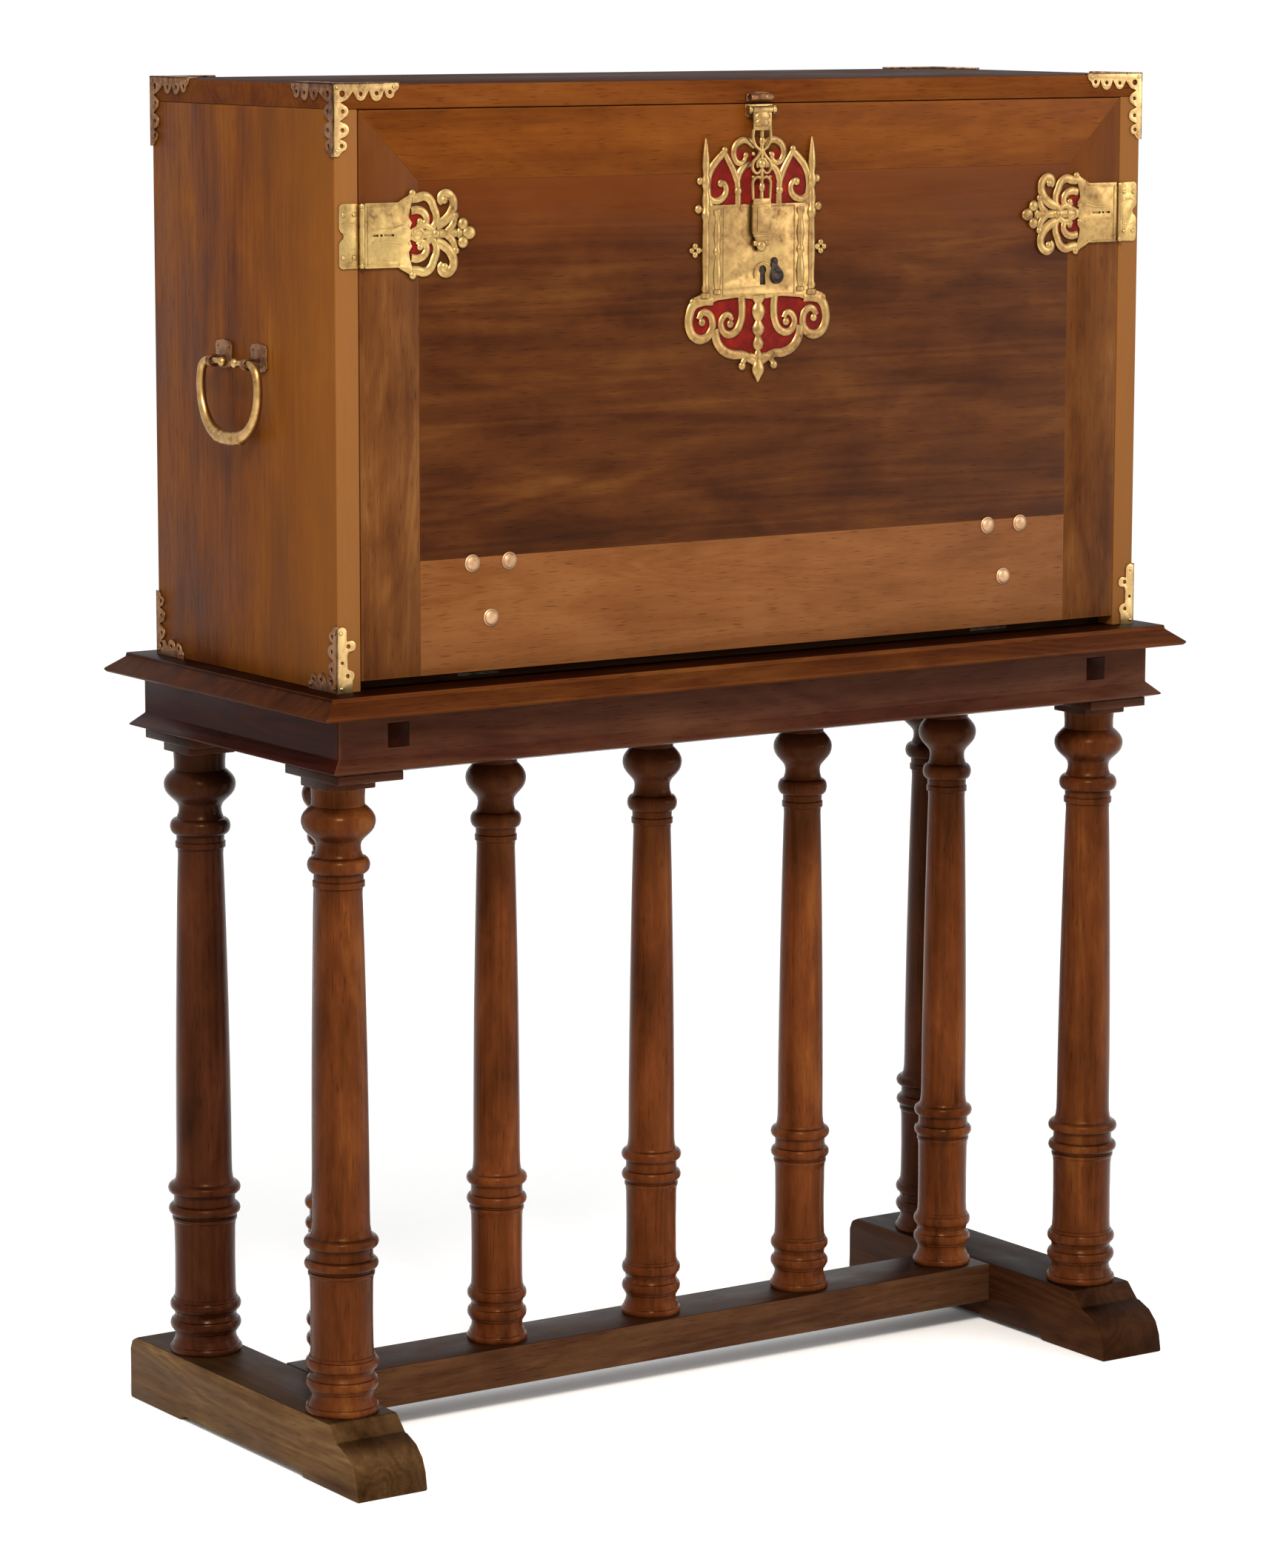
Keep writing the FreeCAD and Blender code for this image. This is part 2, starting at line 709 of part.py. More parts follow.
def build_latches():
    """Each latch leaf turns on a vertical pin held by two posts on the flap."""
    axis_y = plate_back - S.latch_knuckle_radius + S.latch_play
    half = S.latch_plate_height / 2
    posts = []
    for side, label in ((-1, "latch_left"), (1, "latch_right")):
        x = latch_axis_x(side)

        def at(reach):
            """A place measured inwards from the pin."""
            return x - reach * side

        def ordered(first, second):
            """Two bounds, the lower first."""
            return (first, second) if first.number < second.number else (second, first)

        level = latch_level
        eye_x = at(S.latch_eye_reach)
        tip_x = at(S.latch_tip_reach)
        cusp_out = at(S.latch_plate_width)
        cusp_in = at(S.latch_plate_width + S.latch_cusp_width)
        peak = at(S.latch_plate_width + S.latch_cusp_width / 2)
        arm_in = at(S.latch_plate_width + S.latch_cusp_width + S.latch_arm_width)
        pieces = [flat(ordered(x, cusp_out), (level - half, level + half)),
                  flat_outline([(cusp_out, level - half), (cusp_out, level + half),
                                (peak, level + S.latch_cusp_height / 2),
                                (cusp_in, level + S.latch_arm_width), (cusp_in, level - S.latch_arm_width),
                                (peak, level - S.latch_cusp_height / 2)]),
                  flat(ordered(cusp_in, tip_x), span(level, S.latch_arm_width)),
                  boss(S.latch_tip_radius, S.plate_thick, tip_x, plate_back, level, ALONG_FRONT)]
        holes = []
        for way in (-1, 1):
            eye_z = level + S.latch_eye_half_spread * way
            pieces.append(flat_outline([(cusp_in, level), (arm_in, level + S.latch_arm_width * way),
                                        (eye_x - S.latch_arm_width / 2, eye_z),
                                        (eye_x + S.latch_arm_width / 2, eye_z)]))
            pieces.append(boss(S.latch_eye_radius, S.plate_thick, eye_x, plate_back, eye_z, ALONG_FRONT))
            holes.append(disc(S.latch_eye_hole, eye_x, eye_z))
        knuckle_length = S.latch_plate_height - S.latch_post_height * 2
        pieces.append(rod(S.latch_knuckle_radius, knuckle_length, x, axis_y, level - knuckle_length / 2))
        room = S.latch_post_height + S.knuckle_gap
        for way in (-1, 1):
            edge = level + half * way
            holes.append(box(span(x, (S.latch_knuckle_radius + S.swing_gap) * 2),
                             (axis_y - S.latch_knuckle_radius, front), ordered(edge, edge - room * way)))
        holes.append(rod(S.latch_pin_radius + S.pin_clearance, S.latch_plate_height, x, axis_y, level - half))
        node(label, cut(fuse(*pieces), *holes))

        parts = [rod(S.latch_pin_radius, S.latch_plate_height, x, axis_y, level - half)]
        for low in (level - half, level + half - S.latch_post_height):
            parts.append(rod(S.latch_knuckle_radius, S.latch_post_height, x, axis_y, low))
            parts.append(box(ordered(flap_x * side, x - S.latch_knuckle_radius * side), (axis_y, front),
                             (low, low + S.latch_post_height)))
        posts.append(fuse(*parts))
    node("latch_pins", group(*posts))

    keepers = []
    for side in (-1, 1):
        inner = (inner_x + S.knuckle_gap * 2) * side
        outer = (inner_x + S.knuckle_gap * 2 + S.keeper_leaf_width) * side
        leaf_x = (inner, outer) if side > 0 else (outer, inner)
        leaf = box(leaf_x, (front - S.plate_thick, front), span(latch_level, S.latch_plate_height))
        rivets = [boss(S.rivet_radius, S.rivet_height, (inner + outer) / 2, front - S.plate_thick,
                       latch_level + S.latch_plate_height * RIVET_SHARE * way, ALONG_FRONT) for way in (-1, 1)]
        keepers.append(fuse(leaf, *rivets))
    node("latch_keepers", group(*keepers))


RIVET_SHARE = 0.33


# Corner mounts

def angle_mount(y_near, way, z_near, rise, front_leg):
    """A left-hand corner mount: a plate on the end face, one on the side, and one on top."""
    outside_x = -(half_width + S.mount_thick)
    outside_y = y_near - S.mount_thick * way
    z_sign = 1 if rise.number > 0 else -1

    def ys(reach):
        """Bounds from the corner along the side."""
        ends = (outside_y, y_near + reach * way)
        return ends if way > 0 else ends[::-1]

    def zs(reach):
        """Bounds from the corner up or down."""
        ends = (z_near, z_near + reach * z_sign)
        return ends if z_sign > 0 else ends[::-1]

    skin = (outside_y, y_near) if way > 0 else (y_near, outside_y)
    side_skin = (outside_x, -half_width)
    pieces = [box((outside_x, -inner_x), skin, zs(rise * z_sign)),
              box(side_skin, ys(S.mount_long_leg if front_leg else S.mount_foot_leg), zs(S.mount_band)),
              box(side_skin, ys(S.mount_band), zs(rise * z_sign)),
              boss(S.mount_cusp, S.mount_thick, outside_x, y_near + S.mount_band * way,
                   z_near + S.mount_band * z_sign, ALONG_X)]
    if front_leg:
        pieces.append(box((outside_x, -half_width + S.mount_front_leg), skin, zs(S.top_thick)))
        top = (chest_top, chest_top + S.mount_thick)
        pieces.append(box((outside_x, -half_width + S.mount_front_leg), ys(S.mount_band), top))
        pieces.append(box((outside_x, -half_width + S.mount_band), ys(S.mount_long_leg), top))
        pieces.append(box((outside_x, -half_width), ys(S.mount_band), (top_under, chest_top + S.mount_thick)))
        pieces.append(box(side_skin, ys(S.mount_long_leg), (top_under, chest_top + S.mount_thick)))
        pieces.append(box((outside_x, -half_width + S.mount_front_leg), skin, (top_under, chest_top + S.mount_thick)))
    return fuse(*pieces)


def build_mounts():
    """Four brass mounts at the front corners and four at the back."""
    for y_near, way, label in ((front, 1, "corner_mounts_front"), (back, -1, "corner_mounts_back")):
        upper = angle_mount(y_near, way, chest_top, -S.mount_drop, True)
        lower = angle_mount(y_near, way, base, S.mount_foot_rise, False)
        node(label, group(upper, mirrored(upper), lower, mirrored(lower)))


# Side handles

# Bail from its pin round to the middle: share of the half width, share of the drop, share of swelling
BAIL_PATH_SHARES = [(0.82, 0.0, 0.0), (0.95, 0.07, 0.0), (1.0, 0.22, 0.0), (0.99, 0.42, 0.1), (0.88, 0.68, 0.3),
                    (0.64, 0.88, 0.6), (0.34, 0.98, 0.9), (0.0, 1.0, 1.0)]


# Half the flat of an eight-sided eye, against its inner radius
FLAT_SHARE = math.tan(math.pi / 8)


def build_handles():
    """Two staple plates on each side board carry a drop bail with a swollen grip."""
    for side, name in ((-1, "left"), (1, "right")):
        face = half_width * side
        pin_x = (half_width + S.ear_reach) * side
        half_ear = [(S.ear_reach - S.ear_radius, S.ear_shank_radius),
                    (S.ear_reach - S.ear_radius * FLAT_SHARE, S.ear_radius),
                    (S.ear_reach + S.ear_radius * FLAT_SHARE, S.ear_radius),
                    (S.ear_reach + S.ear_radius, S.ear_radius * FLAT_SHARE)]
        outline = [(x * side, z) for x, z in [(ZERO, S.ear_shank_radius)] + half_ear]
        outline += [(x, -z) for x, z in reversed(outline)]
        ears = []
        for way in (-1, 1):
            y = S.ear_half_spread * way
            lug = padded("XZ_Plane", outline, S.ear_width)
            place(lug, face, y, handle_level)
            low = handle_level - S.ear_plate_drop
            across = (face, face + S.ear_plate_thick) if side > 0 else (face - S.ear_plate_thick, face)
            ear = fuse(lug, box(across, span(y, S.ear_plate_width), (low, low + S.ear_plate_height)))
            bore = rod(S.bail_pin_radius + S.pin_clearance, S.ear_width * 2, pin_x,
                       y - S.ear_width, handle_level, ALONG_BACK)
            ears.append(cut(ear, bore))
        node(f"handle_ears_{name}", group(*ears))
        node(f"handle_bail_{name}", build_bail(pin_x))


def build_bail(pin_x):
    """An eight-sided bar lofted through stations of its path; its ends turn inwards as round pins with knobs."""
    path = BAIL_PATH_SHARES + [(-y, z, swell) for y, z, swell in reversed(BAIL_PATH_SHARES[:-1])]
    sections = []
    for index, (y, z, swell) in enumerate(path):
        before = path[max(index - 1, 0)]
        after = path[min(index + 1, len(path) - 1)]
        section = doc.addObject("Part::RegularPolygon", "section")
        section.Polygon = 8
        bind(section, "Circumradius", S.bail_radius + (S.bail_swell_radius - S.bail_radius) * swell)
        along = (after[0] - before[0]) * S.bail_half_width.number
        down = (after[1] - before[1]) * S.bail_drop.number
        if index in (0, len(path) - 1):
            along, down = 1, 0
        place(section, pin_x, S.bail_half_width * y, handle_level - S.bail_drop * z,
              FreeCAD.Rotation(X_AXIS, math.degrees(math.atan2(-along, -down))))
        sections.append(section)
    bar = doc.addObject("Part::Loft", "bar")
    bar.Sections = sections
    bar.Solid = True
    bar.Ruled = True
    reach = S.bail_half_width * BAIL_PATH_SHARES[0][0]
    inner = S.bail_tip_gap + S.bail_tip_length
    ends = []
    for pin_start, tip_start in ((inner, S.bail_tip_gap), (-reach, -inner)):
        ends.append(rod(S.bail_pin_radius, reach - inner, pin_x, pin_start, handle_level, ALONG_BACK))
        ends.append(boss(S.bail_tip_radius, S.bail_tip_length, pin_x, tip_start, handle_level, ALONG_BACK))
    return fuse(bar, *ends)


# Inner cabinet

DRAWER_ROWS = 3
cabinet_front = flap_back + S.cabinet_setback
cabinet_height = top_under - floor_top
row_height = (cabinet_height - S.divider_thick * (DRAWER_ROWS - 1)) / DRAWER_ROWS
bay_inner = S.divider_spread - S.divider_thick / 2
bay_outer = S.divider_spread + S.divider_thick / 2


def shelf_span(index):
    """The bounds of a shelf, up and down, counted from below."""
    low = floor_top + row_height * index + S.divider_thick * (index - 1)
    return low, low + S.divider_thick


def row_span(index):
    """The bounds of a row of drawers, counted from below."""
    low = floor_top + (row_height + S.divider_thick) * index
    return low, low + row_height


def build_cabinet():
    """Two dividers, the shelves between, six side drawers, a middle drawer and an arched niche."""
    depth = (cabinet_front, inner_back)
    node("inner_dividers", group(*[box(span(S.divider_spread * side, S.divider_thick), depth, (floor_top, top_under))
                                   for side in (-1, 1)]))
    side_bays = ((-inner_x, -bay_outer), (bay_outer, inner_x))
    shelves = [box(bay, depth, shelf_span(index)) for bay in side_bays for index in (1, 2)]
    shelves.append(box((-bay_inner, bay_inner), depth, shelf_span(1)))
    node("inner_shelves", group(*shelves))

    niche = (shelf_span(1)[1], top_under)
    radius = bay_inner - S.arch_margin
    spring = niche[1] - S.arch_margin - radius
    board = box((-bay_inner, bay_inner), (cabinet_front, cabinet_front + S.arch_board_thick), niche)
    doorway = box((-radius, radius), (cabinet_front, cabinet_front + S.arch_board_thick), (niche[0], spring))
    arch = rod(radius, S.arch_board_thick, ZERO, cabinet_front, spring, ALONG_BACK)
    node("niche_arch", cut(board, doorway, arch))

    for bay, column in zip(side_bays, ("left", "right")):
        for index, level in enumerate(("lower", "middle", "upper")):
            build_drawer(f"drawer_{column}_{level}", bay, row_span(index))
    build_drawer("drawer_centre", (-bay_inner, bay_inner), row_span(0))


def build_drawer(label, bay, row):
    """An open-topped drawer with a fielded front and a turned knob."""
    x = (bay[0] + S.drawer_gap, bay[1] - S.drawer_gap)
    z = (row[0], row[1] - S.drawer_gap)
    y = (cabinet_front, cabinet_front + S.drawer_depth)
    hollow = box((x[0] + S.drawer_wall, x[1] - S.drawer_wall),
                 (y[0] + S.drawer_front_thick, y[1] - S.drawer_wall),
                 (z[0] + S.drawer_floor, z[1] + S.drawer_gap))
    margin = S.drawer_panel_margin
    field = box((x[0] + margin, x[1] - margin), (y[0] - S.drawer_panel_rise, y[0]), (z[0] + margin, z[1] - margin))
    middle_x = (x[0] + x[1]) / 2
    middle_z = (z[0] + z[1]) / 2
    neck = S.drawer_knob_reach / 2
    knob = fuse(boss(S.drawer_knob_neck, neck, middle_x, y[0], middle_z, ALONG_FRONT),
                boss(S.drawer_knob_radius, neck, middle_x, y[0] - neck, middle_z, ALONG_FRONT))
    node(label, fuse(cut(box(x, y, z), hollow), field, knob))


# Moulded top and frieze of the stand

frieze_x = S.frieze_length / 2
frieze_y = S.frieze_depth / 2
slab_under = base - S.slab_thick
frieze_low = slab_under - S.frieze_height


def build_slab():
    """A top board whose edge slopes out to a lip, cut from one profile per pair of sides."""
    def edge(reach):
        """The slab's section across one direction."""
        top = reach + S.slab_overhang - S.slab_set_back
        lip = reach + S.slab_overhang
        right = [(top, base), (top, base - S.slab_step), (lip, slab_under + S.slab_lip),
                 (lip - S.slab_lip / 2, slab_under + S.slab_lip / 2), (reach, slab_under)]
        return right + [(-x, z) for x, z in reversed(right)]

    long_way = padded("XZ_Plane", edge(frieze_x), S.frieze_depth + (S.slab_overhang + S.cut_overrun) * 2)
    short_way = padded("YZ_Plane", edge(frieze_y), S.frieze_length + (S.slab_overhang + S.cut_overrun) * 2)
    node("stand_top", common(long_way, short_way))


def build_frieze():
    """Four mitred rails with a lower bead, and the bearers tenoned through the long ones."""
    def section(reach, way):
        """A rail's section: flat face above, bead below."""
        outer = reach * way
        bead = (reach + S.bead_reach) * way
        inner = (reach - S.rail_thick) * way
        return [(outer, slab_under), (outer, frieze_low + S.bead_height),
                (bead, frieze_low + S.bead_lip * BEAD_SHARE), (bead, frieze_low + S.bead_lip),
                (outer, frieze_low), (inner, frieze_low), (inner, slab_under)]

    long_reach = S.frieze_length + S.bead_reach * 2
    depth_reach = S.frieze_depth + S.bead_reach * 2
    outer_x = long_reach / 2
    inner_cut = depth_reach / 2
    tenons = [box(span(bearer_x * side, S.tenon_width), (-depth_reach, depth_reach),
                  span(slab_under - S.frieze_height * TENON_LEVEL_SHARE, S.tenon_rise)) for side in (-1, 1)]
    for way, label in ((-1, "frieze_rail_front"), (1, "frieze_rail_back")):
        rail = padded("YZ_Plane", section(frieze_y, way), long_reach)
        wedge = padded("XY_Plane", [(-outer_x, inner_cut * way), (outer_x, inner_cut * way),
                                    (outer_x - inner_cut, ZERO), (-(outer_x - inner_cut), ZERO)],
                       (S.stand_height + S.cut_overrun) * 2)
        node(label, cut(common(rail, wedge), *tenons))
    for way, label in ((-1, "frieze_rail_left"), (1, "frieze_rail_right")):
        rail = padded("XZ_Plane", section(frieze_x, way), depth_reach)
        wedge = padded("XY_Plane", [(outer_x * way, inner_cut), (outer_x * way, -inner_cut),
                                    ((outer_x - inner_cut) * way, ZERO)], (S.stand_height + S.cut_overrun) * 2)
        node(label, common(rail, wedge))

    rail_inner = frieze_y - S.rail_thick
    for side, label in ((-1, "cross_bearer_left"), (1, "cross_bearer_right")):
        x = bearer_x * side
        bar = box(span(x, S.bearer_width), (-rail_inner, rail_inner), (frieze_low, slab_under))
        tenon = box(span(x, S.tenon_width), (-frieze_y, frieze_y),
                    span(slab_under - S.frieze_height * TENON_LEVEL_SHARE, S.tenon_rise))
        node(label, fuse(bar, tenon))
    reach = bearer_x - S.bearer_width / 2
    node("middle_bearer", box((-reach, reach), span(S.row_offset, S.middle_bearer_width),
                              (slab_under - S.middle_bearer_height, slab_under)))


TENON_LEVEL_SHARE = 0.34
BEAD_SHARE = 1.5


# Columns

# Corner column from the foot up: share of the height, radius name
COLUMN_SHARES = [(0.0, "base_radius"), (0.011, "base_radius"), (0.031, "drum_radius"),
                 (0.038, "drum_radius"), (0.047, "band_radius"), (0.057, "drum_radius"),
                 (0.072, "drum_radius"), (0.080, "band_radius"), (0.088, "drum_radius"),
                 (0.226, "drum_radius"), (0.240, "band_radius"), (0.257, "shaft_top_radius"),
                 (0.276, "band_radius"), (0.291, "shaft_foot_radius"), (0.831, "shaft_top_radius"),
                 (0.852, "neck_radius"), (0.862, "shaft_top_radius"), (0.879, "ring_radius"),
                 (0.893, "shaft_top_radius"), (0.905, "shaft_top_radius"), (0.932, "bulb_radius"),
                 (0.958, "bulb_radius"), (0.972, "neck_radius")]
CORNER_SIDES = 16
ROW_SIDES = 12
ROW_SLIMNESS_SHARE = 0.85


def column(foot, height, slimness, neck_top, sides):
    """A turned column in narrow flats: its profile padded, then crossed by turned copies of itself."""
    half = [(getattr(S, name) * slimness, foot + height * share) for share, name in COLUMN_SHARES]
    half.append((S.neck_radius * slimness, neck_top))
    outline = half + [(-radius, level) for radius, level in reversed(half)]
    profile = padded("XZ_Plane", outline, (S.base_radius + S.cut_overrun) * 2)
    turns = [copied(profile, ZERO, ZERO, ZERO, FreeCAD.Rotation(Z_AXIS, 360 * index / sides))
             for index in range(sides // 2)]
    return common(*turns)


def build_columns():
    """Four corner columns under stepped caps and a row of five on the stretcher."""
    foot = S.runner_height
    collar_low = frieze_low - S.cap_height - S.collar_height
    height = collar_low - foot
    corner = column(foot, height, as_size(1), collar_low, CORNER_SIDES)
    slim = column(foot, height, ROW_SLIMNESS_SHARE, slab_under - S.middle_bearer_height, ROW_SIDES)
    caps = []
    for y_way, depth_name in ((-1, "front"), (1, "back")):
        for x_way, side_name in ((-1, "left"), (1, "right")):
            x = column_x * x_way
            y = S.column_depth * y_way
            node(f"column_{depth_name}_{side_name}", copied(corner, x, y, ZERO))
            cap_x = (frieze_x * x_way, (frieze_x - S.cap_width) * x_way)
            cap_y = (frieze_y * y_way, (frieze_y - S.cap_depth) * y_way)
            cap = box(cap_x if x_way < 0 else cap_x[::-1], cap_y if y_way < 0 else cap_y[::-1],
                      (frieze_low - S.cap_height, frieze_low))
            collar = box(span(x, S.collar_width), span(y, S.collar_width), (collar_low, frieze_low - S.cap_height))
            caps.append(fuse(cap, collar))
    node("column_caps", group(*caps))
    for index in range(5):
        node(f"row_column_{index + 1}", copied(slim, row_spacing * (index - 2), S.row_offset, ZERO))


# Runners and stretcher

def build_base():
    """Two sledge runners with shaped noses, joined by a stretcher."""
    end = S.runner_length / 2
    top = S.runner_height
    nose_top = end - S.nose_length
    outline = [(-end, ZERO), (-(end - S.nose_step / 2), S.nose_rise * NOSE_SHARES[0][1])]
    outline += [(-(end - S.nose_length * x), S.nose_rise * z) for x, z in NOSE_SHARES[1:]]
    outline += [(-nose_top, top), (end - S.heel_round, top), (end - S.heel_round * HEEL_SHARE, top - S.heel_round * HEEL_SHARE),
                (end, top - S.heel_round), (end, ZERO), (end - S.runner_pad, ZERO),
                (end - S.runner_pad - S.runner_relief, S.runner_relief),
                (-(end - S.runner_pad - S.runner_relief), S.runner_relief), (-(end - S.runner_pad), ZERO)]
    for side, label in ((-1, "runner_left"), (1, "runner_right")):
        runner = padded("YZ_Plane", outline, S.runner_width)
        place(runner, runner_x * side, ZERO, ZERO)
        node(label, runner)
    reach = runner_x - S.runner_width / 2
    node("stretcher", box((-reach, reach), span(S.row_offset, S.stretcher_width),
                          (top - S.stretcher_height, top)))


# Front nose of a runner: share of its length, share of its rise
HEEL_SHARE = 0.3
NOSE_SHARES = [(0.0, 0.37), (0.16, 0.64), (0.36, 0.86), (0.66, 1.0), (0.72, 1.0), (0.86, 1.16)]


build_carcass()
build_flap()
build_hinges()
build_lock()
build_hasp()
build_latches()
build_mounts()
build_handles()
build_cabinet()
build_slab()
build_frieze()
build_columns()
build_base()
doc.recompute()

for item in doc.Objects:
    if "Invalid" in item.State or "Error" in item.State:
        raise RuntimeError(f"{item.Name} ({item.Label}) failed: {item.State}")
for item in NODES:
    if item.Shape.isNull() or not item.Shape.isValid():
        raise RuntimeError(f"{item.Label} has no valid shape")

os.makedirs("parts", exist_ok=True)
for item in NODES:
    item.Shape.exportStep(f"parts/{item.Label}.step")
    box_of = item.Shape.BoundBox
    print(f"{item.Label}: {len(item.Shape.Solids)} solid(s), {item.Shape.Volume / 1000:.0f} cm3, "
          f"z {box_of.ZMin:.1f} to {box_of.ZMax:.1f}")
print(len(NODES), "nodes")
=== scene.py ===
import math

import bpy
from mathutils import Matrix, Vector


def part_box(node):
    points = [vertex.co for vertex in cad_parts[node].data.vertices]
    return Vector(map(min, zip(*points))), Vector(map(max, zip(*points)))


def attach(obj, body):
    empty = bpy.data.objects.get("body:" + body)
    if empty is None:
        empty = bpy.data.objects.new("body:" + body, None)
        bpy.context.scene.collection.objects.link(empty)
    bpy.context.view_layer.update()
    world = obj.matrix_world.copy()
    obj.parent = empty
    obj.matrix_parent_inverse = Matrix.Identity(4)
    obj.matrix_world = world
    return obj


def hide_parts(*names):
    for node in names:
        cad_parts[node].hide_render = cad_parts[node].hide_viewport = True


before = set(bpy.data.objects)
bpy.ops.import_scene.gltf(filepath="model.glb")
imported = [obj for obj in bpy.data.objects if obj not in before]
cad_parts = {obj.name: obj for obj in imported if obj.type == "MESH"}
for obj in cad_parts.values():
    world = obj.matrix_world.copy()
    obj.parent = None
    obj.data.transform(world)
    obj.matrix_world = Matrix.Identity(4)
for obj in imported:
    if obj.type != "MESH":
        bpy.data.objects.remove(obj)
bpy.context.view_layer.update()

# Fall-front writing chest on a bridge stand of turned columns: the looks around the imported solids.
# X runs to the right along the front, Y to the back, Z up. Tables are in millimetres.

MM = 0.001
BODY = "chest_and_stand"
FLAP = "flap"


# Materials

def paint(hex_colour):
    """An sRGB hex colour as the linear colour that a shader socket takes."""
    shares = [int(hex_colour[i:i + 2], 16) / 255 for i in (1, 3, 5)]
    return [s / 12.92 if s <= 0.04045 else ((s + 0.055) / 1.055) ** 2.4 for s in shares] + [1]


def add(material, kind, sockets=(), stops=(), out=0, **settings):
    """Adds one shader node to a material and gives one of its outputs.

    Sockets are values or links: by name or number in a dict, or in the node's own order in a tuple."""
    made = material.node_tree.nodes.new("ShaderNode" + kind)
    for name, value in settings.items():
        setattr(made, name, value)
    for name, value in sockets.items() if isinstance(sockets, dict) else enumerate(sockets):
        if isinstance(value, bpy.types.NodeSocket):
            material.node_tree.links.new(value, made.inputs[name])
        else:
            made.inputs[name].default_value = value
    if stops:
        ramp = made.color_ramp
        while len(ramp.elements) < len(stops):
            ramp.elements.new(0.5)
        for element, (position, colour) in zip(ramp.elements, stops):
            element.position = position
            element.color = paint(colour)
    return made.outputs[out] if len(made.outputs) else None


def new_material(name):
    """An empty node material."""
    material = bpy.data.materials.new(name)
    material.use_nodes = True
    material.node_tree.nodes.clear()
    return material


def surface(material, **sockets):
    """Ends a material in one principled shader."""
    named = {name.replace("_", " "): value for name, value in sockets.items()}
    add(material, "OutputMaterial", {"Surface": add(material, "BsdfPrincipled", named)})
    return material


GRAIN_TURNS = {"x": (0, 0, 0), "y": (0, 0, math.pi / 2), "z": (0, math.pi / 2, 0)}
TONE_STOPS = (0.30, 0.43, 0.54, 0.68)
PORE_BROWN, END_GRAIN_BROWN, POLISH_TINT = "#8A7466", "#94877A", "#E0B080"


